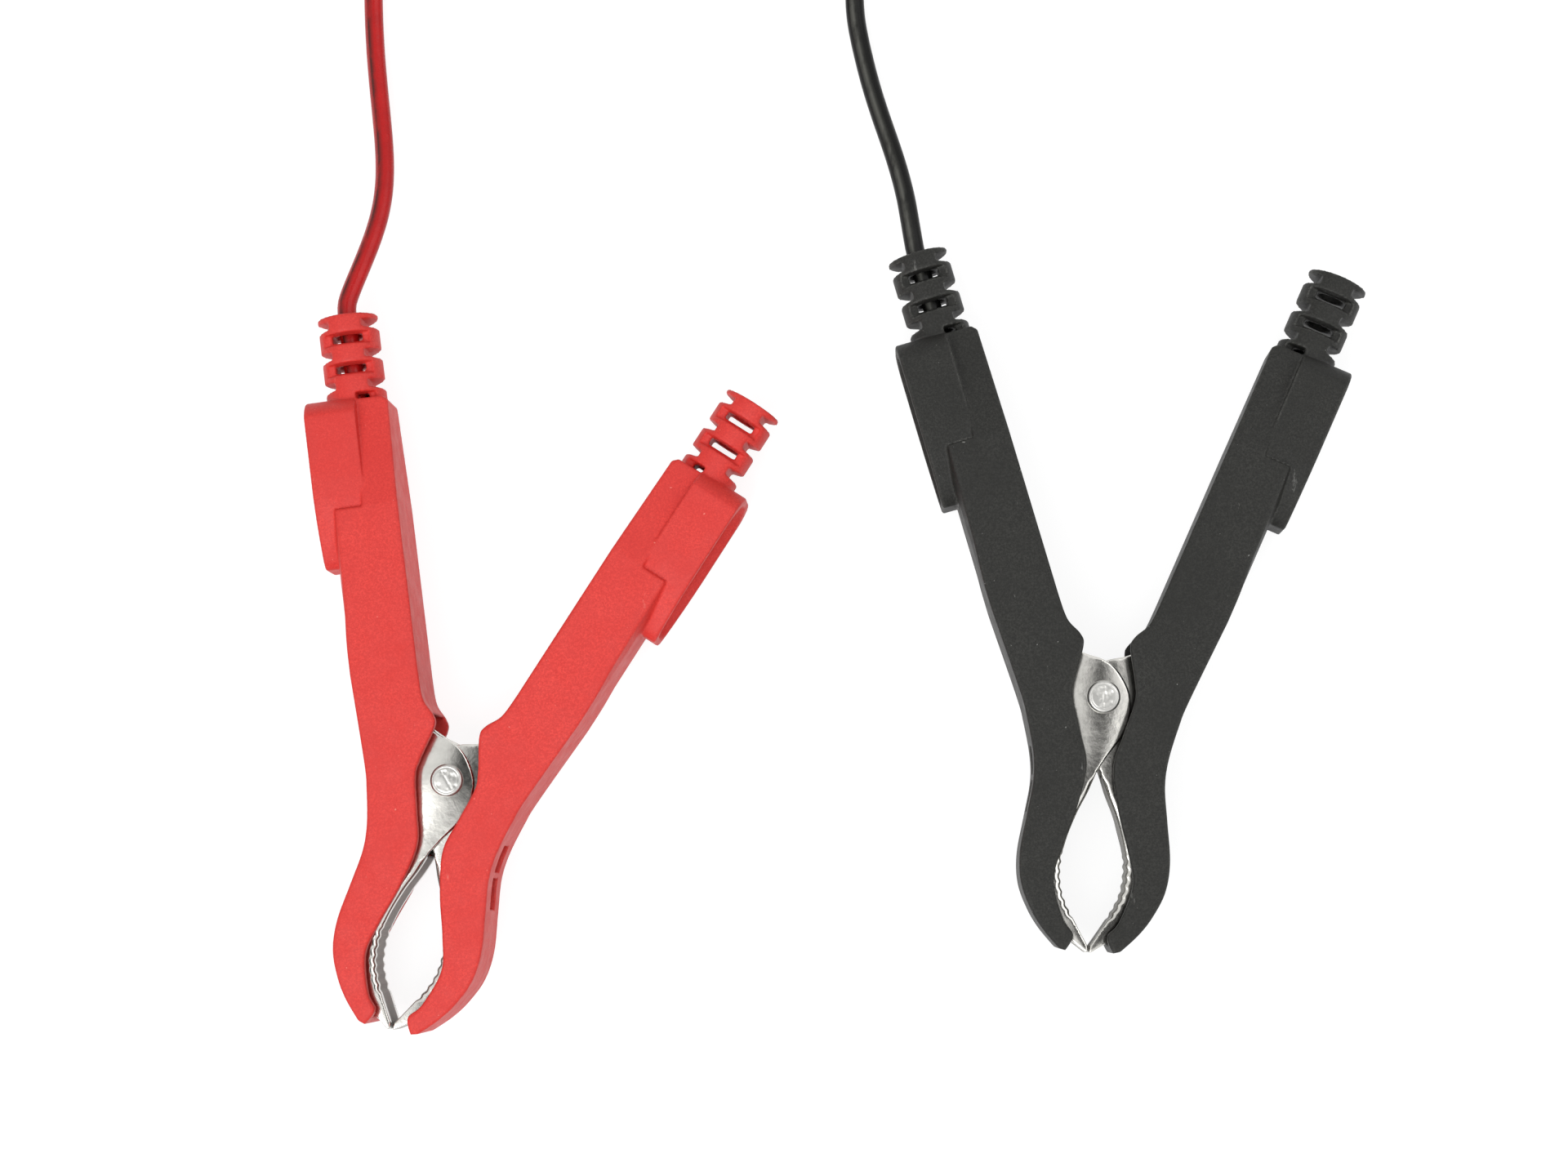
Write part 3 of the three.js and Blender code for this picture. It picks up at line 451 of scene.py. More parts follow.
def surface(field, axes):
    """Vertices and quads of the surface where a field is zero: a vertex in each cell that it
    crosses, and a quad round each edge of the grid that it crosses."""
    inside = field < 0
    size = np.array(field.shape) - 1
    total = np.zeros((*size, 3))
    count = np.zeros(size)
    for axis in range(3):
        a, b = field[part({axis: 0})], field[part({axis: 1})]
        crossed = inside[part({axis: 0})] != inside[part({axis: 1})]
        share = np.where(crossed, a / np.where(crossed, a - b, 1), 0)
        o1, o2 = (i for i in range(3) if i != axis)
        for p, q in ((0, 0), (0, 1), (1, 0), (1, 1)):
            hit = crossed[part({o1: p, o2: q})]
            count += hit
            total[..., axis] += share[part({o1: p, o2: q})]
            total[..., o1] += hit * p
            total[..., o2] += hit * q
    used = count > 0
    index = np.full(size, -1)
    index[used] = np.arange(used.sum())
    vertices = np.argwhere(used) + total[used] / count[used][:, None]
    vertices = np.array([a[0] for a in axes]) + vertices * (axes[0][1] - axes[0][0])
    quads = []
    for axis in range(3):
        first = inside[part({axis: 0})]
        at = np.argwhere(first != inside[part({axis: 1})])
        o1, o2 = (axis + 1) % 3, (axis + 2) % 3
        at = at[(at[:, o1] > 0) & (at[:, o2] > 0)]
        face = []
        for p, q in ((1, 1), (0, 1), (0, 0), (1, 0)):
            cell = at.copy()
            cell[:, o1] -= p
            cell[:, o2] -= q
            face.append(index[tuple(cell.T)])
        face = np.stack(face, axis=1)
        turned_in = ~first[tuple(at.T)]
        face[turned_in] = face[turned_in][:, ::-1]
        quads.append(face)
    return vertices, np.vstack(quads)


def mesh_from(name, vertices, faces, smooth=True):
    """A mesh from lists or, for speed, from arrays of vertices and quads."""
    mesh = bpy.data.meshes.new(name)
    if isinstance(faces, np.ndarray):
        mesh.vertices.add(len(vertices))
        mesh.vertices.foreach_set("co", vertices.ravel())
        mesh.loops.add(faces.size)
        mesh.loops.foreach_set("vertex_index", faces.ravel().astype(np.int32))
        mesh.polygons.add(len(faces))
        mesh.polygons.foreach_set("loop_start", np.arange(0, faces.size, 4, dtype=np.int32))
        mesh.update(calc_edges=True)
        mesh.validate()
    else:
        mesh.from_pydata([tuple(v) for v in vertices], [], faces)
    mesh.polygons.foreach_set("use_smooth", [smooth] * len(mesh.polygons))
    return mesh


def thinned(mesh, keep):
    """The same mesh with fewer triangles."""
    holder = bpy.data.objects.new(mesh.name, mesh)
    bpy.context.collection.objects.link(holder)
    holder.modifiers.new("fewer", "DECIMATE").ratio = keep
    graph = bpy.context.evaluated_depsgraph_get()
    result = bpy.data.meshes.new_from_object(holder.evaluated_get(graph))
    result.name = mesh.name
    bpy.data.objects.remove(holder)
    bpy.data.meshes.remove(mesh)
    return result


def field_mesh(name, field_of, low, high, step, keep, near=None):
    """The mesh of a field's solid in a box. near(x, y) picks the columns to work out."""
    axes = [np.arange(a - 1.5 * step, b + 2.5 * step, step) for a, b in zip(low, high)]
    x, y = np.meshgrid(axes[0], axes[1], indexing="ij")
    rows = near(x, y) if near else np.ones(x.shape, bool)
    field = np.full((*x.shape, axes[2].size), FAR)
    field[rows] = field_of(x[rows][:, None], y[rows][:, None], axes[2][None])
    return thinned(mesh_from(name, *surface(field, axes)), keep)


def ring_faces(rings, sides):
    """The faces of a solid whose vertices are its rings and then its two end points."""
    faces = []
    first = rings * sides
    for a in range(sides):
        b = (a + 1) % sides
        for i in range(0, first - sides, sides):
            faces.append((i + a, i + sides + a, i + sides + b, i + b))
        faces.append((first, a, b))
        faces.append((first + 1, first - sides + b, first - sides + a))
    return faces


def tube(points, radius, sides, ridge=None):
    """Vertices, faces and the angle of each vertex of a round tube along points. ridge is
    (angle, height, width) of a thin fin along it."""
    p = np.array(points, float)
    ahead = directions(p)
    side = np.cross(ahead[0], (0, 0, 1))
    if np.linalg.norm(side) < 1e-6:
        side = np.array([1.0, 0, 0])
    turn = np.arange(sides) * 2 * math.pi / sides
    reach = np.full(sides, float(radius))
    if ridge:
        angle, height, width = ridge
        reach += height * np.exp(-((wrapped(turn - angle) / width) ** 2))
    rows = []
    for point, direction in zip(p, ahead):
        side = side - direction * side.dot(direction)
        side /= np.linalg.norm(side)
        third = np.cross(side, direction)
        ring = np.outer(np.cos(turn) * reach, side) + np.outer(np.sin(turn) * reach, third)
        rows.append(point + ring)
    vertices = np.vstack([*rows, p[:1], p[-1:]])
    return vertices, ring_faces(len(p), sides), np.concatenate([np.tile(turn, len(p)), [0, 0]])


def turned(profile, sides, bump=None):
    """A solid of revolution about Z from [radius, height] points, first and last on the
    axis. bump(x, y, z) may add to the heights."""
    turn = np.arange(sides) * 2 * math.pi / sides
    vertices = [(r * math.cos(a), r * math.sin(a), z) for r, z in profile[1:-1] for a in turn]
    vertices += [(0, 0, profile[0][1]), (0, 0, profile[-1][1])]
    if bump:
        vertices = [(x, y, z + bump(x, y, z)) for x, y, z in vertices]
    return vertices, [face[::-1] for face in ring_faces(len(profile) - 2, sides)]


def arc_profile(points, radius, steps=5):
    """A profile with each inner corner rounded, as far as its sides allow."""
    p = [Vector(q) for q in points]
    rounded = [tuple(p[0])]
    for before, corner, after in zip(p, p[1:], p[2:]):
        a, b = (before - corner), (after - corner)
        reach = min(radius, a.length * 0.45, b.length * 0.45)
        start, end = corner + a.normalized() * reach, corner + b.normalized() * reach
        for i in range(steps + 1):
            t = i / steps
            rounded.append(tuple(start * (1 - t) ** 2 + corner * 2 * t * (1 - t) + end * t * t))
    return [*rounded, tuple(p[-1])]


# ------------------------------------------------------------------ materials


def rgb(colour):
    """A colour in 8-bit screen values, turned into the linear values shaders take."""
    shares = [v / 255 for v in colour]
    return (*[v / 12.92 if v <= 0.04045 else ((v + 0.055) / 1.055) ** 2.4 for v in shares], 1)


class Nodes:
    """The node tree of a material or a world, emptied and filled again."""

    def __init__(self, owner, output):
        owner.use_nodes = True
        self.tree = owner.node_tree
        self.tree.nodes.clear()
        self.output = self.node(output)

    def put(self, socket, value):
        """Sets a socket to a value, or links another node's socket to it."""
        if isinstance(value, (int, float, tuple)):
            socket.default_value = value
        else:
            self.tree.links.new(value, socket)

    def node(self, kind, inputs=None, **settings):
        made = self.tree.nodes.new(f"ShaderNode{kind}")
        for key, value in settings.items():
            setattr(made, key, value)
        for key, value in (inputs or {}).items():
            self.put(made.inputs[key], value)
        return made

    def math(self, operation, *values):
        return self.node("Math", dict(enumerate(values)), operation=operation).outputs[0]

    def between(self, value, low, high, from_low=0.0, from_high=1.0, **settings):
        """A value mapped to another range, and kept within it."""
        return self.node("MapRange", {
            "Value": value, "From Min": from_low, "From Max": from_high, "To Min": low, "To Max": high,
        }, **settings).outputs["Result"]

    def either_shader(self, factor, a, b):
        return self.node("MixShader", {0: factor, 1: a, 2: b}).outputs[0]


class Shader(Nodes):
    """A material's nodes, with patterns laid out in millimetres of the piece's own place."""

    def __init__(self, name):
        self.material = bpy.data.materials.new(name)
        super().__init__(self.material, "OutputMaterial")
        self.bsdf = self.node("BsdfPrincipled")
        self.put(self.output.inputs["Surface"], self.bsdf.outputs["BSDF"])
        place = self.node("TexCoord").outputs["Object"]
        self.place = self.node("VectorMath", {0: place, "Scale": 1 / MM}, operation="SCALE").outputs[0]

    def set(self, **values):
        for key, value in values.items():
            self.put(self.bsdf.inputs[key.replace("_", " ")], value)

    def noise(self, size, detail=3, rough=0.55, stretch=None, place=None):
        """Noise whose patches are this many mm across."""
        place = place or self.place
        if stretch:
            place = self.node("Mapping", {"Vector": place, "Scale": stretch}).outputs["Vector"]
        return self.node("TexNoise", {
            "Vector": place, "Scale": 1 / size, "Detail": detail, "Roughness": rough,
        }).outputs["Fac"]

    def mix(self, factor, a, b):
        node = self.node("Mix", {0: factor}, data_type="RGBA")
        for socket, value in zip([s for s in node.inputs if s.type == "RGBA"], (a, b)):
            self.put(socket, value)
        return [s for s in node.outputs if s.type == "RGBA"][0]

    def bump(self, *layers):
        """Bump from (height, depth in mm) layers."""
        below = {}
        for height, depth in layers:
            node = self.node("Bump", {"Distance": depth * MM, "Height": height, **below})
            below = {"Normal": node.outputs["Normal"]}
        self.set(**below)

    def edges(self, reach):
        """How much a place within reach (mm) of an edge belongs to that edge."""
        bevel = self.node("Bevel", {"Radius": reach * MM}, samples=4).outputs[0]
        true = self.node("NewGeometry").outputs["Normal"]
        dot = self.node("VectorMath", {0: bevel, 1: true}, operation="DOT_PRODUCT")
        return self.between(dot.outputs["Value"], 1, 0, 0.86, 0.992)


def moulded_plastic(name, face, deep, edge_shading_and_wear, scuff, specular, edge_reach=0.3):
    """Matte moulded plastic: mottled grain, faint clouds and small scuffs. Its edges and creases are
    tinted in patches: darker on red as painted shade, lighter on black as wear and painted highlight.
    """
    s = Shader(name)
    mottle = s.noise(0.42, detail=3, rough=0.6)
    base = rgb(face)
    for pattern, share, start, end in (
        (s.noise(11, detail=4), 0.6, 0.35, 0.7),
        (mottle, 0.75, 0.42, 0.66),
        (s.noise(0.3, detail=2, rough=0.8), 1, 0.4, 0.62),
    ):
        base = s.mix(s.between(pattern, 0, share, start, end), base, rgb(deep))
    # Edges and creases are tinted in broken patches: on red darker, as painted shade; on black lighter, as
    # wear and painted highlight.
    edge_patches = s.between(s.noise(1.3, detail=4, rough=0.65), 0.35, 1, 0.38, 0.6)
    base = s.mix(s.math("MULTIPLY", s.edges(edge_reach), edge_patches), base, rgb(edge_shading_and_wear))
    specks = s.between(s.noise(0.55, detail=1, rough=0.3), 0, 0.7, 0.79, 0.84)
    streaks = s.noise(2.6, detail=5, rough=0.72, stretch=(1, 0.3, 1))
    marks = s.math("MAXIMUM", specks, s.between(streaks, 0, 0.6, 0.67, 0.76))
    s.set(
        Base_Color=s.mix(marks, base, rgb(scuff)), Specular_IOR_Level=specular,
        Roughness=s.between(s.noise(2.5, detail=5), 0.44, 0.6, 0.3, 0.7),
    )
    grain = s.noise(0.2, detail=4, rough=0.65)
    s.bump((grain, 0.03), (mottle, 0.02), (s.noise(7, detail=2), 0.05))
    return s.material


def plated_steel(name, tint, roughness, scratch, stain, grain):
    """Bright plated sheet with fine grinding marks that run out from the rivets. Faces near the clamp's
    middle height, deep in the channel, are dull and painted darker as painted shade."""
    s = Shader(name)
    clouds = s.noise(5, detail=5, rough=0.6)
    blotch = s.noise(0.7, detail=5, rough=0.7)
    shade = {share: rgb([v * share for v in tint]) for share in (1, 0.88, stain, 0.85, 0.6)}
    base = s.mix(s.between(clouds, 0, 1, 0.3, 0.7), shade[1], shade[0.88])
    base = s.mix(s.between(blotch, 0, 0.3, 0.5, 0.8), base, shade[stain])
    # Faces near the clamp's middle height, down in the channel, are painted darker and made less metallic
    # as painted shade, and are rougher.
    level = s.node("SeparateXYZ", {0: s.place}).outputs["Z"]
    depth = s.math("ABSOLUTE", s.math("SUBTRACT", level, CLAMP_LEVEL))
    inner_shade = s.between(depth, 1, 0, *INNER_SHADE_REACH)
    polish = s.between(blotch, *roughness, 0.3, 0.75)
    s.set(
        Base_Color=s.mix(inner_shade, base, s.mix(clouds, shade[0.6], shade[0.85])),
        Metallic=s.between(inner_shade, 1, 0.2),
        Roughness=s.math("MAXIMUM", polish, s.between(inner_shade, 0, 0.6)),
    )
    fine = s.noise(0.3, detail=4, rough=0.7)
    s.bump((radial_marks(s), scratch), (fine, grain), (s.noise(2.2, detail=3), 0.035))
    return s.material


def radial_marks(s):
    """Streaks that run out from the nearer rivet, as seen on the table's plane."""
    split = s.node("SeparateXYZ", {0: s.place}).outputs
    red, black = (side["rivet"] for side in SIDES)
    right = s.math("GREATER_THAN", split["X"], (red[0] + black[0]) / 2)
    x, y = (
        s.math("SUBTRACT", split[i], s.math("ADD", s.math("MULTIPLY", right, black[i] - red[i]), red[i]))
        for i in range(2)
    )
    far = s.math("SQRT", s.math("ADD", s.math("MULTIPLY", x, x), s.math("MULTIPLY", y, y)))
    around = s.math("MULTIPLY", s.math("ARCTAN2", y, x), STREAKS[0])
    polar = s.node("CombineXYZ", {0: around, 1: s.math("MULTIPLY", far, STREAKS[1])})
    return s.noise(1.0, detail=4, rough=0.7, place=polar.outputs[0])


def drawn_metal(name, light, dark, roughness):
    """Wire, contacts and conductor: metal with stains and fine pits."""
    s = Shader(name)
    stains = s.between(s.noise(2.4, detail=5, rough=0.65), 0, 1, 0.35, 0.7)
    s.set(
        Base_Color=s.mix(stains, rgb(light), rgb(dark)), Metallic=1.0,
        Roughness=s.between(s.noise(0.8, detail=4), *roughness, 0.3, 0.7),
    )
    s.bump((s.noise(0.25, detail=4, rough=0.7), 0.01), (s.noise(1.8, detail=2), 0.03))
    return s.material


def vinyl(name, face, deep, seam_and_highlight, specular):
    """Glossy lead insulation, with a tinted stripe along the torn web of the twin lead it came from: a
    dark mark on the red lead, and a lighter stripe on the black lead that is a painted highlight.
    """
    s = Shader(name)
    base = s.mix(s.between(s.noise(4, detail=4), 0, 1, 0.3, 0.7), rgb(face), rgb(deep))
    near = s.node("Attribute", attribute_name="seam_and_highlight").outputs["Fac"]
    broken = s.between(s.noise(1.4, detail=3, stretch=(1, 0.35, 1)), 0.35, 1, 0.3, 0.5)
    s.set(
        # the stripe's colour: a dark mark on the red lead, a painted highlight on the black lead
        Base_Color=s.mix(s.math("MULTIPLY", near, broken), base, rgb(seam_and_highlight)),
        Roughness=s.between(s.noise(1.2, detail=4), 0.2, 0.34, 0.3, 0.7),
        Specular_IOR_Level=specular,
    )
    s.bump((s.noise(0.5, detail=3), 0.012), (s.noise(3.5, detail=2), 0.06))
    return s.material


def woven_strap(name):
    s = Shader(name)
    waves = [
        s.node("TexWave", {"Vector": s.place, "Scale": 0.55, "Distortion": 0.6, "Detail": 2},
               wave_type="BANDS", bands_direction=direction).outputs["Fac"]
        for direction in ("X", "Y")
    ]
    weave = s.math("MAXIMUM", *waves)
    fuzz = s.noise(0.35, detail=5, rough=0.75)
    base = s.mix(weave, rgb((20, 20, 20)), rgb((58, 58, 57)))
    base = s.mix(s.between(fuzz, 0, 0.5, 0.45, 0.8), base, rgb((80, 80, 78)))
    s.set(Base_Color=base, Roughness=0.92, Sheen_Weight=0.4, Sheen_Roughness=0.5)
    s.bump((weave, 0.09), (fuzz, 0.08))
    return s.material


INNER_SHADE_REACH = (3.0, 3.8)  # from the clamp's middle, how far the inner faces reach that are dull and painted darker (painted shade)
STREAKS = (26.0, 0.35)  # how closely the grinding marks change: round the rivet, away from it
FINISH = {
    name: make(name, *values)
    for name, make, *values in (
        # The third colour of each plastic tints its edges: on red painted shade, on black wear and painted
        # highlight.
        ("red_plastic", moulded_plastic,
         (236, 69, 60), (214, 52, 47), (196, 26, 24), (244, 140, 128), 0.4),
        ("black_plastic", moulded_plastic,
         (54, 54, 51), (33, 33, 31), (150, 150, 145), (150, 150, 146), 0.25, 0.4),
        ("connector_plastic", moulded_plastic,
         (46, 46, 45), (38, 38, 38), (84, 84, 82), (120, 120, 118), 0.35),
        ("plated_steel", plated_steel, (226, 224, 218), (0.13, 0.2), 0.005, 0.85, 0.002),
        ("rivet_steel", plated_steel, (206, 205, 201), (0.3, 0.45), 0.004, 0.7, 0.006),
        ("spring_steel", drawn_metal, (150, 148, 142), (92, 90, 86), (0.3, 0.5)),
        ("tinned_copper", drawn_metal, (190, 186, 176), (150, 146, 138), (0.3, 0.5)),
        ("bare_copper", drawn_metal, (200, 130, 90), (150, 86, 56), (0.3, 0.5)),
        ("contact_brass", drawn_metal, (214, 178, 98), (178, 140, 70), (0.22, 0.4)),
        # The third colour of each vinyl tints the stripe along the torn web: a dark mark on red, a painted
        # highlight on black.
        ("red_vinyl", vinyl, (198, 26, 26), (180, 20, 22), (60, 26, 22), 0.28),
        ("black_vinyl", vinyl, (18, 18, 17), (14, 14, 14), (96, 96, 91), 0.16),
        ("tie_fabric", woven_strap),
    )
}


def add_piece(name, mesh, finish, body, nodes, place, flat_normals=True):
    """A piece in the row frame that rides on a body and stands for CAD nodes, which it hides. Between two
    bodies, body is (one, other, start, end) of the stretch that bends; these entries are not used, and
    such a piece is only fixed in the row frame on no body, without bending."""
    mesh.transform(place)
    if place.to_3x3().determinant() < 0:
        mesh.flip_normals()
    mesh.materials.clear()
    mesh.materials.append(FINISH[finish])
    piece = bpy.data.objects.new(name, mesh)
    bpy.context.collection.objects.link(piece)
    if flat_normals:
        piece.modifiers.new("normals", "WEIGHTED_NORMAL").weight = 50
    if isinstance(body, str):
        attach(piece, body)
    else:
        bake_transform(piece)
    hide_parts(*nodes)
    return piece


# ------------------------------------------------------------------ leads

LEAD_SIDES = 24
LEAD_STEP = 0.9
SEAM_ANGLE = {"red": math.radians(118), "black": math.radians(108)}
SEAM_HEIGHT = 0.08
SEAM_WIDTH = 0.13
TIE_INSET = 0.03  # keeps the strap within its solid


def coil_points(side):
    turns = abs(side["coil_turns"])
    clockwise = math.copysign(1, side["coil_turns"])
    steps = round(turns * TURN_STEPS)
    points = []
    for i in range(steps + 1):
        done = turns * i / steps
        from_middle = done - turns / 2
        radius = COIL_OUT - TURN_PITCH * (turns / 2 - abs(from_middle))
        angle = math.radians(side["coil_entry"]) + 2 * math.pi * done * clockwise
        points.append(Vector((
            side["coil_centre"][0] + radius * math.cos(angle),
            side["coil_centre"][1] + radius * math.sin(angle),
            COIL_LEVEL + TURN_PITCH * smoothstep(2 * from_middle + 0.5),
        )))
    return points


def beyond(start, end, distance):
    return end + (end - start).normalized() * distance


def relief_point(side, u):
    """A point of the lead's line in the left handle, in mm of the row frame."""
    return clamp_place(side) @ Vector((*on_handle(u, RELIEF_AXIS), 0)) / MM


def lead_points(side):
    coil = coil_points(side)
    entry = CONNECTOR_AT + Vector((side["pole"] * POLE_SPACING / 2, BOOT_LENGTH + RUN, 0))
    return [
        relief_point(side, RELIEF_TOP - 1),
        relief_point(side, RELIEF_TOP + EXIT_STUB),
        *[Vector(p) for p in side["route"]],
        beyond(coil[1], coil[0], STUB + RUN),
        *coil,
        beyond(coil[-2], coil[-1], STUB + RUN),
        *[Vector(p) for p in side["tail"]],
        entry + Vector((0, STUB, 0)),
        entry,
    ]


def lead_mesh(name, line, colour):
    angle = SEAM_ANGLE[colour]
    vertices, faces, angles = tube(line, LEAD, LEAD_SIDES, (angle, SEAM_HEIGHT, SEAM_WIDTH))
    mesh = mesh_from(name, vertices, faces)
    # where the stripe lies, which on the black lead carries a painted highlight
    seam_and_highlight = np.exp(-((wrapped(angles - angle) / (2 * SEAM_WIDTH)) ** 2)).astype(np.float32)
    mesh.attributes.new("seam_and_highlight", "FLOAT", "POINT").data.foreach_set("value", seam_and_highlight)
    return mesh


def make_leads():
    shell = make_shell()
    for side in SIDES:
        colour = side["colour"]
        line = spaced(smooth_line(lead_points(side)), LEAD_STEP)
        inner = [relief_point(side, STRIPPED_AT), relief_point(side, RELIEF_TOP - 1)]
        lead, _ = (
            add_piece(
                f"{colour}_{name}", lead_mesh(name, points, colour), f"{colour}_vinyl",
                LEADS_BODY, [f"{colour}_{node}" for node in nodes], placed(), flat_normals=False,
            )
            for name, points, nodes in (
                ("lead_whole", line, ("lead", "coil", "lead_tail")),
                ("lead_end", spaced(inner, LEAD_STEP), ("lead_inside",)),
            )
        )
        ends = [make_tie(side)]
        if side["pole"] < 0:
            ends += [make_contact("socket"), shell]
        else:
            ends += [make_contact("pin")]


def make_tie(side):
    """A woven strap round all the turns at one place of the coil."""
    innermost = COIL_OUT - TURN_PITCH * abs(side["coil_turns"]) / 2
    bow = TIE_WIDTH**2 / (8 * innermost)
    low = innermost - bow - LEAD - RUN
    high = COIL_OUT + LEAD + RUN
    half_x = (high - low) / 2 + TIE_THICK / 2
    half_z = (TURN_PITCH + 2 * LEAD) / 2 + RUN + TIE_THICK / 2
    corner = TIE_CORNER + TIE_THICK / 2
    loop = []
    for cx, cz, start in ((1, 1, 0), (-1, 1, 90), (-1, -1, 180), (1, -1, 270)):
        for a in np.radians(np.linspace(start, start + 90, 9)):
            x = cx * (half_x - corner) + corner * math.cos(a)
            loop.append(((low + high) / 2 + x, cz * (half_z - corner) + corner * math.sin(a)))
    loop = spaced([*loop, loop[0]], 0.4)[:-1]
    ahead = np.roll(loop, -1, axis=0) - np.roll(loop, 1, axis=0)
    ahead /= np.linalg.norm(ahead, axis=1)[:, None]
    # a flat section with round edges, swept round the loop
    w, t = TIE_WIDTH / 2 - TIE_INSET, TIE_THICK / 2 - TIE_INSET
    edge = [(w - 0.2, -t), (w, -t * 0.4), (w, t * 0.4), (w - 0.2, t), (w - 0.5, t * 0.8)]
    section = [*edge, (0, t * 0.9), *[(-across, out) for across, out in edge[::-1]], (0, -t)]
    vertices = [
        (x + dz * out, across, z - dx * out)
        for (x, z), (dx, dz) in zip(loop, ahead)
        for across, out in section
    ]
    m = len(section)
    faces = [
        (a + j, b + j, b + (j + 1) % m, a + (j + 1) % m)
        for a, b in zip(range(0, len(vertices), m), [*range(m, len(vertices), m), 0])
        for j in range(m)
    ]
    centre = (*side["coil_centre"], COIL_LEVEL + TURN_PITCH / 2)
    colour = side["colour"]
    return add_piece(
        f"{colour}_strap", mesh_from("tie", vertices, faces), "tie_fabric", LEADS_BODY,
        [f"{colour}_coil_tie"], placed(centre, side["tie_angle"]), flat_normals=False,
    )


def make_contact(kind):
    """The connector's socket or pin, drawn with Z along the connector."""
    seat = CONTACT_SEAT - SHELL_LENGTH
    if kind == "socket":
        pole, tip = -1, -SHELL_LENGTH - SOCKET_LENGTH
        corners = [
            (0, seat - SOCKET_FLOOR), (SOCKET_BORE, seat - SOCKET_FLOOR), (SOCKET_BORE, tip + 0.8),
            (SOCKET_BORE + 0.3, tip), (SOCKET_RADIUS - 0.2, tip), (SOCKET_RADIUS, tip + 0.4),
            (SOCKET_RADIUS, tip + 3), (SOCKET_RADIUS - 0.25, tip + 3.2),
            (SOCKET_RADIUS - 0.25, tip + 4), (SOCKET_RADIUS, tip + 4.2), (SOCKET_RADIUS, seat),
            (0, seat),
        ]
    else:
        pole, tip = 1, -SHELL_LENGTH - PIN_LENGTH
        corners = [
            (0, tip), (PIN_TIP, tip), (PIN_RADIUS, tip + PIN_TAPER), (PIN_RADIUS, tip + 8.6),
            (PIN_RADIUS - 0.3, tip + 8.9), (PIN_RADIUS - 0.3, tip + 10), (PIN_RADIUS, tip + 10.3),
            (PIN_RADIUS, seat), (0, seat),
        ]
    mesh = mesh_from(kind, *turned(arc_profile(corners, 0.35), 40))
    place = placed(CONNECTOR_AT + Vector((pole * POLE_SPACING / 2, 0, 0)), -90, "X")
    return add_piece(
        f"connector_{kind}_contact", mesh, "contact_brass", LEADS_BODY, [f"connector_{kind}"],
        place, flat_normals=False,
    )


# ------------------------------------------------------------------ connector shell

SHELL_STEP = 0.22
SHELL_KEEP = 0.3
GRIP = [-15.5, -13.9, -12.3, -10.7, -9.1, -7.5]  # the grip grooves
GRIP_DEPTH = 0.45
BOOT_RINGS = [1.6, 3.0, 4.4]
RING_DEPTH = 0.35


def shell_field(x, y, z):
    """The connector's shell round its own middle, boots towards +Y."""
    groove = np.min([np.abs(y - at) - 0.36 for at in GRIP], axis=0)
    section = rounded_box(x, z, SHELL_WIDTH / 2, SHELL_HEIGHT / 2, SHELL_CORNER)
    shell = both(section, span(y, -SHELL_LENGTH, 0), 0.7)
    shell = without(shell, both(groove, -section - GRIP_DEPTH, 0.15), 0.15)
    collar = np.abs(y + SHELL_LENGTH - 2.2) - 0.3
    shell = without(shell, both(collar, -section - 0.25, 0.1), 0.1)
    at_left, at_right = (np.hypot(x - side * POLE_SPACING / 2, z) for side in (-1, 1))
    taper = BOOT_BASE + (BOOT_END - BOOT_BASE) * y / BOOT_LENGTH
    for radial in (at_left, at_right):
        boot = both(radial - taper, span(y, -1, BOOT_LENGTH), 0.3)
        for at in BOOT_RINGS:
            boot = without(boot, both(np.abs(y - at) - 0.3, taper - RING_DEPTH - radial, 0.1), 0.1)
        shell = either(shell, boot, 0.4)
    seat = CONTACT_SEAT - SHELL_LENGTH + RUN
    mouth = -SHELL_LENGTH - SLEEVE_LENGTH
    sleeve = both(at_left - SLEEVE_RADIUS, span(y, mouth, -SHELL_LENGTH + 1), 0.35)
    shell = either(shell, sleeve, 0.3)
    shell = without(shell, np.maximum(at_left - SLEEVE_BORE, y - seat), 0.25)
    return without(shell, np.maximum(at_right - PIN_RADIUS - RUN, y - seat), 0.25)


def make_shell():
    low = (-SHELL_WIDTH / 2, -SHELL_LENGTH - SLEEVE_LENGTH, -SHELL_HEIGHT / 2)
    high = (SHELL_WIDTH / 2, BOOT_LENGTH, SHELL_HEIGHT / 2)
    return add_piece(
        "connector_housing", field_mesh("shell", shell_field, low, high, SHELL_STEP, SHELL_KEEP),
        "connector_plastic", LEADS_BODY, ["connector_shell"], placed(CONNECTOR_AT),
    )


make_leads()

# ------------------------------------------------------------------ covers

COVER_STEP = 0.28
COVER_KEEP = 0.22
COVER_LOW = (-43, TIP_LEVEL - 1.2, -COVER_HALF)
COVER_HIGH = (0.5, 73, COVER_HALF)
PAST_AXIS = 8  # how far the cover's opening towards the gap is cut

INNER_LINE = spline([on_handle(EDGE_IN_FROM, HANDLE_IN), *left_of(EDGE_IN)], 10)
OUTER_LINE = spline([on_handle(EDGE_OUT_FROM, HANDLE_OUT), *left_of(EDGE_OUT)], 10)


def inside_outer(distance):
    line = moved(OUTER_LINE, -distance)
    line[0] = on_handle(EDGE_OUT_FROM, HANDLE_OUT - distance)
    return line


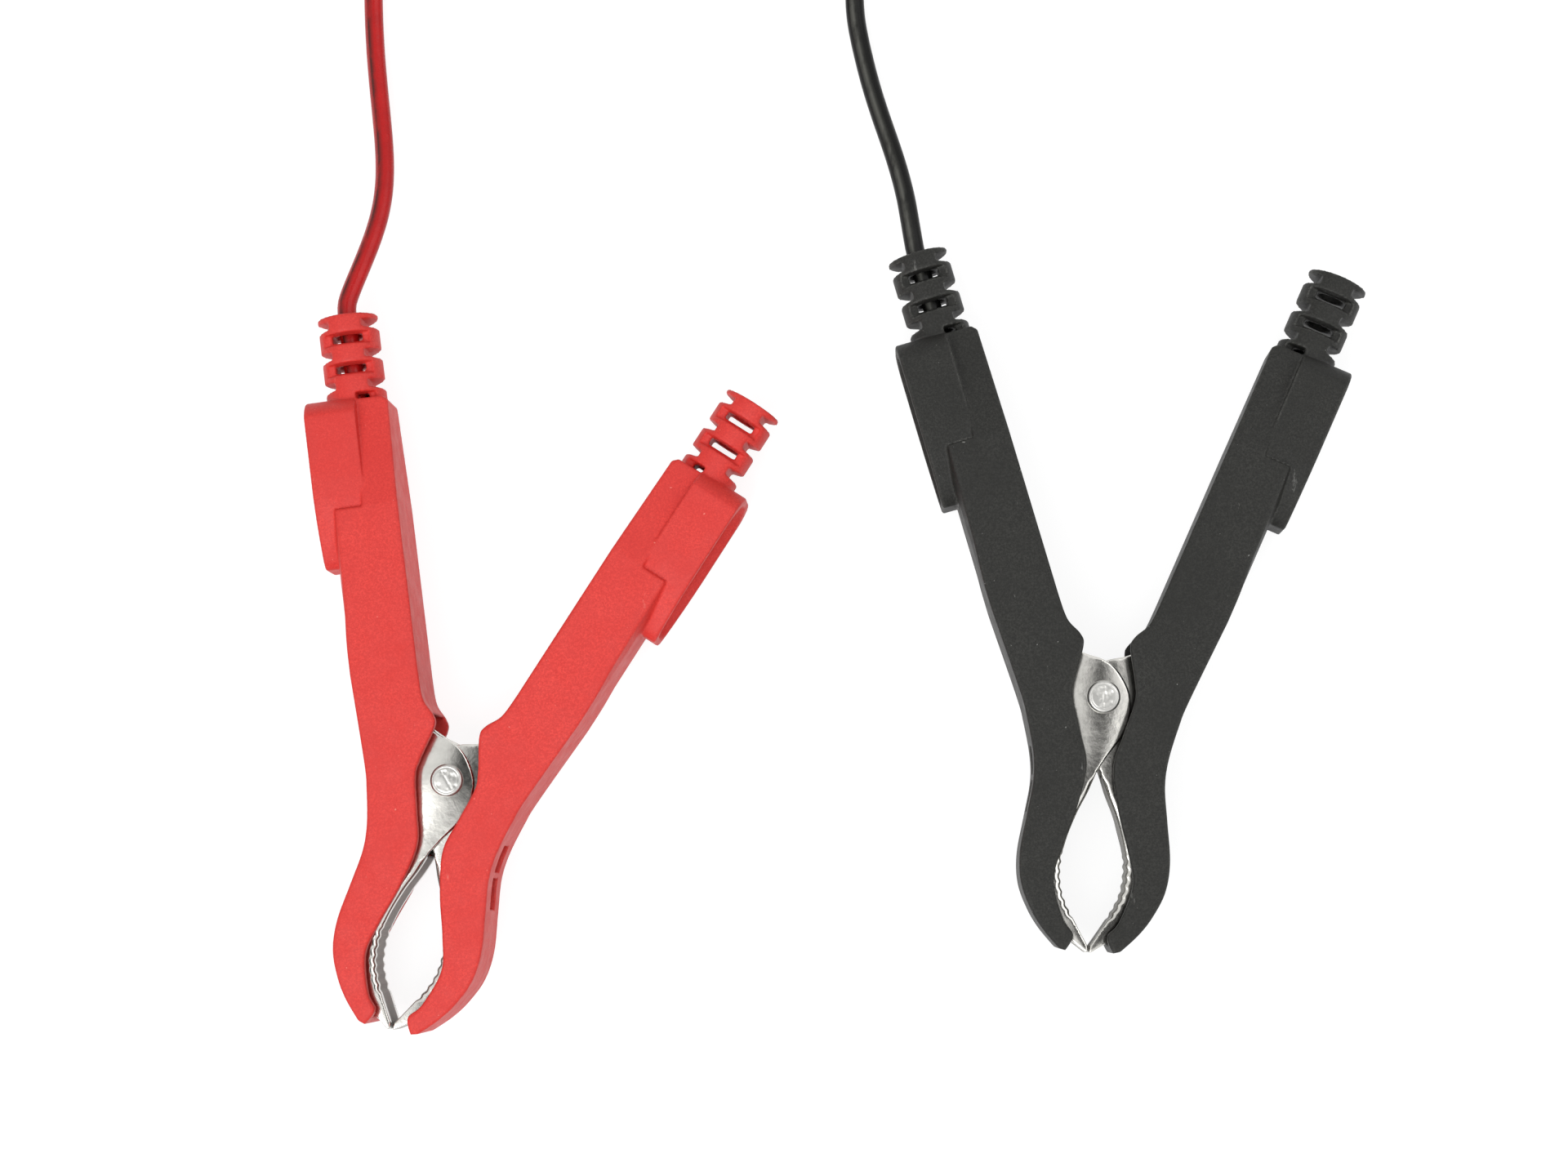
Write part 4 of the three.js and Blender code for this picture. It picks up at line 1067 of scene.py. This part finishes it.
def relief_field(u, n, z):
    """The slotted strain relief on top of the handle."""
    off = np.abs(n - RELIEF_AXIS)
    radial = np.hypot(off, z)
    post = both(radial - RELIEF_RADIUS, span(u, HANDLE_TOP - 1, RELIEF_TOP), 0.2)
    for i in range(SIDE_SLOTS):
        top = RELIEF_TOP - DISC - i * SLOT_PITCH
        flare = 0.12 * (off - SIDE_NECK)
        side_slot = both(span(u, top - SLOT - flare, top + flare), SIDE_NECK - off, 0.1)
        post = without(post, side_slot, MOULD_CORNER)
        front = top - FRONT_SLOT_OFFSET
        bottom = max(front - WEB_SLOT, HANDLE_TOP)
        slot = np.maximum(span(u, bottom, front), off - FRONT_SLOT_HALF)
        recess = span(u, max(front - RECESS_LENGTH, HANDLE_TOP), front + 0.1)
        recess = np.maximum(recess, off - RECESS_HALF)
        if bottom == HANDLE_TOP:
            # the pad's top runs up to the relief and leaves only the inner half open
            slot = np.maximum(slot, n - PAD_IN)
            recess = np.maximum(recess, n - PAD_IN)
        post = without(post, slot, 0.06)
        post = without(post, both(recess, RECESS_FLOOR - np.abs(z)), 0.08)
    return without(post, radial - RELIEF_BORE, MOULD_CORNER)


def pad_field(u, n, z):
    """The finger pad, with its dished outer face."""
    height = np.abs(z)
    half = (PAD_TOP - PAD_FROM) / 2
    along = u - (PAD_TOP + PAD_FROM) / 2
    foot = PAD_FROM + PAD_FOOT_CUT
    left = np.clip((PAD_TAPER_END - u) / (PAD_TAPER_END - foot), 0, 1.2)
    taper = height - (PAD_HALF - (PAD_HALF - PAD_FOOT_HALF) * left**2)
    chamfer = (height - (u - PAD_FROM + PAD_FOOT_HALF - PAD_FOOT_CUT)) / math.sqrt(2)
    # the top is an arc that meets the face in a crease
    arc_u = np.maximum(u - PAD_TOP + PAD_ARC, 0)
    top = np.hypot(arc_u, np.maximum(height - PAD_HALF - PAD_SAG + PAD_ARC, 0)) - PAD_ARC
    side = both(np.maximum(np.abs(along) - half, height - PAD_HALF), top, 0.12)
    side = both(side, taper, 0.25)
    side = both(side, chamfer, 0.2)
    pad = both(side, n - PAD_OUT, MOULD_EDGE)
    pad = both(pad, PAD_IN - n, MOULD_CORNER)
    rim = rounded_box(along, z, half - DISH_RIM, PAD_HALF - DISH_RIM, PAD_HALF - DISH_RIM - 0.6)
    rim = both(rim, np.maximum(taper, chamfer) + DISH_RIM, 0.6)
    depth = DISH_DEPTH * np.clip(-rim / 0.9, 0, 1) ** 0.6
    return without(pad, np.maximum(rim, PAD_OUT - n - depth), 0.25)


def cover_field(x, y, z, has_ribs):
    u, n = handle_axes(x, y)
    height = np.abs(z)
    edge = outline_field([
        on_handle(HANDLE_TOP - CORNER_CUT, HANDLE_IN), *INNER_LINE, *OUTER_LINE[::-1],
        on_handle(HANDLE_TOP, HANDLE_OUT), on_handle(HANDLE_TOP, HANDLE_IN + CORNER_CUT),
    ], x, y)
    near_shelf = np.clip((u - DRAFT_FROM) / (SHELF_FROM - DRAFT_FROM), 0, 1)
    lean = DRAFT[0] + (DRAFT[1] - DRAFT[0]) * near_shelf
    lean = lean * smoothstep((u - DRAFT_FROM) / DRAFT_FADE)
    rise = 1 - (COVER_HALF - height) / DRAFT_HEIGHT
    side = n - HANDLE_OUT - 3 * np.maximum(DRAFT_FROM - u, 0)
    lower = both(np.maximum(edge, side + lean * rise), height - COVER_HALF, MOULD_EDGE)
    lower = both(lower, u - SHELF_FROM, 0.2)
    drop = SLOPE_DROP * np.clip((u - SHELF_FROM) / (HANDLE_TOP - SHELF_FROM), 0, 1.05)
    strip = both(np.maximum(edge, n - PAD_IN - 0.6), height - COVER_HALF + drop, MOULD_EDGE)
    strip = np.maximum(strip, SHELF_FROM - 6 - u)
    behind = both(np.maximum(edge, SHELF_FROM - u), height - PAD_HALF + PAD_CORNER, 0.2)
    cover = either(either(lower, strip), behind)
    cover = either(cover, pad_field(u, n, z), 0.15)
    cover = either(cover, relief_field(u, n, z), 0.25)
    # what is hollow inside
    outer = inside_outer(SIDE_WALL)
    inner = HANDLE_IN + SIDE_WALL
    pocket = outline_field([
        on_handle(POCKET_TOP, inner), on_handle(POCKET_FOOT, inner), (-POCKET_MOUTH, OPEN_BELOW),
        (PAST_AXIS, OPEN_BELOW), (PAST_AXIS, TIP_LEVEL - 2 * RUN - 1), (0, TIP_LEVEL - 2 * RUN),
        *outer[::-1], on_handle(POCKET_TOP, HANDLE_OUT - SIDE_WALL),
    ], x, y)
    cover = without(cover, both(pocket, height - COVER_HALF + FACE_WALL, 0.15), MOULD_CORNER)
    channel = handle_box(u, n, POCKET_TOP - 1, HANDLE_TOP - TOP_WALL,
                         HANDLE_IN + CHANNEL_WALL, HANDLE_OUT - SIDE_WALL)
    cover = without(cover, both(channel, height - CHANNEL_HALF))
    bore = np.hypot(n - RELIEF_AXIS, z) - RELIEF_BORE
    cover = without(cover, np.maximum(bore, HANDLE_TOP - TOP_WALL - 1 - u), 0.1)
    for top, bottom in WINDOWS:
        window = np.maximum(span(y, bottom, top), x + WINDOW_IN)
        cover = without(cover, both(window, height - WINDOW_HALF, 0.2), 0.12)
    if has_ribs:
        layer = span(height, INNER_JAW_HALF + RUN, COVER_HALF - FACE_WALL + 0.5)
        for rib in (handle_box(u, n, *RIB_SPAN), outline_field(left_of(RIB_JAW), x, y)):
            cover = either(cover, np.maximum(rib, layer), 0.1)
    return cover


def near_cover(x, y):
    u, n = handle_axes(x, y)
    return ((u > 10) & (n > HANDLE_IN - 2) & (n < PAD_OUT + 2)) | (y < 22)


def cover_mesh(name, has_ribs):
    return field_mesh(name, lambda *at: cover_field(*at, has_ribs),
                      COVER_LOW, COVER_HIGH, COVER_STEP, COVER_KEEP, near_cover)


# ------------------------------------------------------------------ jaws

JAW_STEP = 0.2
JAW_KEEP = 0.35
BOW_REACH = (8, 12)  # how far from the rivet the bow goes on


def toothed(line):
    """The gap edge with rounded ridges pressed into it."""
    made = line.copy()
    level = line[:, 1]
    fade = np.clip((TEETH[0] - level) / 0.6, 0, 1) * np.clip((level - TEETH[1]) / 0.6, 0, 1)
    made[:, 0] -= TOOTH * fade * (0.5 - 0.5 * np.cos(2 * math.pi * distances(line) / TOOTH_PITCH))
    return made


def jaw_field(x, y, z, half):
    u, n = handle_axes(x, y)
    gap = spaced(spline(left_of(GAP_EDGE), 12), 0.12)
    toothed_gap = toothed(gap)
    outer = inside_outer(SIDE_WALL + RUN)
    nose_x, nose_y = outer[-1]
    edge = outline_field([
        on_handle(FLANGE_TOP, STEEL_IN), on_handle(STEEL_FOOT, STEEL_IN),
        *spline(left_of(EAR), 6), *toothed_gap,
        (-JAW_TOUCH, BEAK_LEVEL), (-JAW_TOUCH, TIP_LEVEL), *outer[::-1],
        on_handle(FLANGE_TOP, HANDLE_OUT - SIDE_WALL - RUN),
    ], x, y)
    in_web = span(y, JAW_WEB[1], JAW_WEB[0])
    bend = CUT_EDGE + (BEND - CUT_EDGE) * np.clip(-in_web / 1.2, 0, 1)
    far_side = np.clip((line_field(gap, x, y) - 1.2) / 0.5, 0, 1)
    bend = bend * (1 - far_side) + CUT_EDGE * far_side
    # stamped faces fall away a little towards their edges
    fall = WARP * np.exp(-np.maximum(-edge, 0) / WARP_REACH)
    for value, depth, reach in zip((x - BOW_FROM, y), BOW, BOW_REACH):
        fall = fall + depth * (0.5 - 0.5 * np.cos(math.pi * np.clip(value / reach, -1, 1)))
    height = np.abs(z)
    whole = both(edge, height - half + fall, bend)
    web_line = np.vstack([toothed_gap, (-JAW_TOUCH, BEAK_LEVEL)])
    web = np.maximum(line_field(web_line, x, y) - SHEET, span(y, TIP_LEVEL, JAW_WEB[0]))
    nose = outline_field([
        (-JAW_TOUCH + 1, TIP_LEVEL + SHEET), (-JAW_TOUCH + 1, TIP_LEVEL - 1),
        (nose_x, nose_y - 1), (nose_x, nose_y + SHEET),
    ], x, y)
    strip = handle_box(u, n, HANDLE_WEB_FROM, FLANGE_TOP, STEEL_IN - 1, STEEL_IN + SHEET)
    solid_part = np.minimum(np.minimum(web, nose), strip)
    jaw = without(whole, np.maximum(height - half + SHEET + fall * 0.8, -solid_part), 0.08)
    tail = handle_box(u, n, FLANGE_TOP - 1, TAIL_TOP, STEEL_IN, STEEL_IN + SHEET)
    jaw = either(jaw, both(tail, height - FERRULE - SHEET, 0.15), 0.1)
    return without(jaw, np.hypot(x, y) - SHANK - PIN_FIT, CUT_EDGE)


def near_jaw(x, y):
    u, n = handle_axes(x, y)
    return (x > -13) & (y < 16) | (u > 8) & (n > STEEL_IN - 3) & (n < HANDLE_OUT)


def jaw_mesh(name, half):
    return field_mesh(name, lambda *at: jaw_field(*at, half),
                      (-25, TIP_LEVEL, -half), (4.6, 36, half), JAW_STEP, JAW_KEEP, near_jaw)


# ------------------------------------------------------------------ rivets and springs

MARKS = 26  # small pressed dents in a rivet's head
MARK_DEPTH = 0.09
MARK_SIZE = 0.28
HEAD_RINGS = 26
HEAD_SIDES = 72
SPRING_STEPS = 24  # to a turn


def rivet_mesh(name, seed):
    """A rivet whose flat heads carry the rough marks of the press."""
    draw = random.Random(seed)
    seat = OUTER_JAW_HALF + RUN / 2
    top = seat + HEAD_HEIGHT
    marks = []
    for _ in range(MARKS):
        r, a = 1.75 * math.sqrt(draw.random()), draw.uniform(0, 2 * math.pi)
        marks.append((r * math.cos(a), r * math.sin(a), draw.choice((-1, 1)), draw.uniform(0.3, 1)))
    turn = draw.uniform(0, math.pi)

    def pressed(x, y, z):
        if abs(z) < top - 0.02:
            return 0
        r = math.hypot(x, y)
        height = -0.05 * math.exp(-(((r - 1.95) / 0.12) ** 2))
        for mx, my, side, weight in marks:
            if side * z > 0:
                gap = ((x - mx) ** 2 + (y - my) ** 2) / (MARK_SIZE * weight + 0.1) ** 2
                height -= MARK_DEPTH * weight * math.exp(-gap)
        across = abs(x * math.sin(turn) - y * math.cos(turn))
        height -= 0.04 * math.exp(-((across / 0.18) ** 2)) * (r < 1.7)
        return height * math.copysign(1, z)

    rim = arc_profile(
        [(HEAD - HEAD_BEVEL, top), (HEAD, top - HEAD_BEVEL), (HEAD, seat), (SHANK, seat)], 0.25
    )
    rings = [((HEAD - HEAD_BEVEL) * i / HEAD_RINGS, top) for i in range(1, HEAD_RINGS)]
    upper = [*rings, *rim]
    profile = [(0, -top), *[(r, -z) for r, z in upper], *upper[::-1], (0, top)]
    return mesh_from(name, *turned(profile, HEAD_SIDES, pressed))


def spring_leg(side, level):
    """The angle at which a leg leaves the coil, and its three points."""
    rest = HANDLE_OUT - SIDE_WALL - RUN - WIRE
    bend = on_handle(SPRING_LEG_BEND, rest)
    angle = math.atan2(bend[1], bend[0]) + math.acos(SPRING_RADIUS / math.hypot(*bend))
    leaves = (SPRING_RADIUS * math.cos(angle), SPRING_RADIUS * math.sin(angle))
    points = [(-side * x, y, level) for x, y in (leaves, bend, on_handle(SPRING_LEG_END, rest))]
    return (angle if side < 0 else math.pi - angle), points


def spring_line():
    half = INNER_JAW_HALF - SHEET - SPRING_FIT - WIRE
    start, left = spring_leg(-1, -half)
    end, right = spring_leg(1, half)
    rest = ((end - start) / (2 * math.pi)) % 1
    turns = round(2 * half / SPRING_PITCH - rest) + rest
    steps = round(turns * SPRING_STEPS)
    coil = []
    for i in range(1, steps):
        angle = start + turns * 2 * math.pi * i / steps
        coil.append((
            SPRING_RADIUS * math.cos(angle), SPRING_RADIUS * math.sin(angle),
            -half + 2 * half * i / steps,
        ))
    return spaced(smooth_line([*left[::-1], *coil, *right]), 0.35), half


# ------------------------------------------------------------------ both clamps


def make_clamps():
    covers = {"left": cover_mesh("cover_left", False), "right": cover_mesh("cover_right", True)}
    jaws = {
        "left": jaw_mesh("jaw_left", OUTER_JAW_HALF), "right": jaw_mesh("jaw_right", INNER_JAW_HALF)
    }
    line, half_coil = spring_line()
    for seed, side in enumerate(SIDES):
        colour = side["colour"]
        for half in ("left", "right"):
            body = LEADS_BODY if half == "left" else f"{colour}_right_half"
            for piece, meshes, finish, node in (
                ("handle", covers, f"{colour}_plastic", "cover"), ("channel", jaws, "plated_steel", "jaw"),
            ):
                add_piece(
                    f"{colour}_{piece}_{half}", meshes[half].copy(), finish, body,
                    [f"{colour}_{node}_{half}"], clamp_place(side, half == "right"),
                )
        add_piece(
            f"{colour}_pivot", rivet_mesh("pivot", seed + 5), "rivet_steel", LEADS_BODY,
            [f"{colour}_rivet"], clamp_place(side),
        )
        vertices, faces, _ = tube(line, WIRE, 12)
        ends = [
            tuple(Vector((*side["rivet"], CLAMP_LEVEL + level)) * MM)
            for level in (-half_coil, half_coil)
        ]
        add_piece(
            f"{colour}_coil_spring", mesh_from("spring", vertices, faces), "spring_steel",
            (LEADS_BODY, f"{colour}_right_half", *ends), [f"{colour}_spring"], clamp_place(side),
            flat_normals=False,
        )
        for node, finish in (("ferrule", "tinned_copper"), ("core", "bare_copper")):
            repaint(f"{colour}_{node}", finish)


def repaint(node, finish):
    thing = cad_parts[node]
    if not thing.material_slots:
        thing.data.materials.append(FINISH[finish])
    for material_slot in thing.material_slots:
        material_slot.material = FINISH[finish]


make_clamps()

# ------------------------------------------------------------------ stage and light

FLOOR_HALF = 3.0  # metres
FLOOR_LEVEL = -0.0001  # metres
FLOOR_GLOW = 0.86
ROOM_LIGHT = 0.36
PATCH_AT = (0.16, 0.10)  # the grey patch's direction from straight up
PATCH = (0.04, 1.0, 0.13, 0.31)  # the light in it and round it, then its core's and rim's reach
LAMPS = [
    # name, place, aim, size in metres, power, and whether shiny pieces mirror it
    ("key", Vector((-260, -330, 620)), Vector((-10, 0, 0)), 0.5, 2.5, True),
    ("top", Vector((-20, 10, 700)), Vector((-20, 10, 0)), 0.5, 1.05, False),
    ("fill", Vector((420, 120, 520)), Vector((0, 20, 0)), 0.6, 1.0, True),
]


def make_floor():
    corners = ((-1, -1), (1, -1), (1, 1), (-1, 1))
    vertices = [(x * FLOOR_HALF, y * FLOOR_HALF, FLOOR_LEVEL) for x, y in corners]
    mesh = mesh_from("floor", vertices, [(0, 1, 2, 3)], smooth=False)
    floor = bpy.data.objects.new("floor", mesh)
    bpy.context.collection.objects.link(floor)
    material = bpy.data.materials.new("floor")
    n = Nodes(material, "OutputMaterial")
    paths = n.node("LightPath").outputs
    seen = n.math("MAXIMUM", paths["Is Camera Ray"], paths["Is Glossy Ray"])
    seen = n.math("MAXIMUM", seen, paths["Is Transmission Ray"])
    paper, thin = (
        n.node("BsdfDiffuse", {"Color": (tone, tone, tone, 1)}).outputs[0] for tone in (0.82, 0.25)
    )
    glow = n.node("Emission", {"Strength": FLOOR_GLOW}).outputs[0]
    lit = n.node("AddShader", {0: thin, 1: glow}).outputs[0]
    n.put(n.output.inputs["Surface"], n.either_shader(seen, paper, lit))
    mesh.materials.append(material)


def make_world():
    """A white room, which shiny pieces see with a grey patch overhead."""
    world = bpy.data.worlds.new("studio")
    bpy.context.scene.world = world
    n = Nodes(world, "OutputWorld")

    def background(strength):
        return n.node("Background", {"Color": (1, 1, 1, 1), "Strength": strength}).outputs[0]

    paths = n.node("LightPath").outputs
    direction = n.node("TexCoord").outputs["Generated"]
    centre = (*PATCH_AT, math.sqrt(1 - PATCH_AT[0] ** 2 - PATCH_AT[1] ** 2))
    away = n.node("VectorMath", {0: direction, 1: centre}, operation="DISTANCE").outputs["Value"]
    overhead = background(n.between(away, *PATCH, interpolation_type="SMOOTHSTEP"))
    unseen = n.either_shader(paths["Is Glossy Ray"], background(ROOM_LIGHT), overhead)
    seen = n.math("MAXIMUM", paths["Is Camera Ray"], paths["Is Transmission Ray"])
    n.put(n.output.inputs["Surface"], n.either_shader(seen, unseen, background(1.0)))


def make_lamp(name, at, aim, size, power, mirrored):
    data = bpy.data.lights.new(name, "AREA")
    data.shape = "RECTANGLE"
    data.size = data.size_y = size
    data.energy = power
    lamp = bpy.data.objects.new(name, data)
    bpy.context.collection.objects.link(lamp)
    lamp.location = at * MM
    lamp.rotation_mode = "QUATERNION"
    lamp.rotation_quaternion = (aim - at).to_track_quat("-Z", "Y")
    lamp.visible_glossy = mirrored


make_floor()
make_world()
for lamp in LAMPS:
    make_lamp(*lamp)

bpy.context.scene.view_settings.view_transform = "Standard"
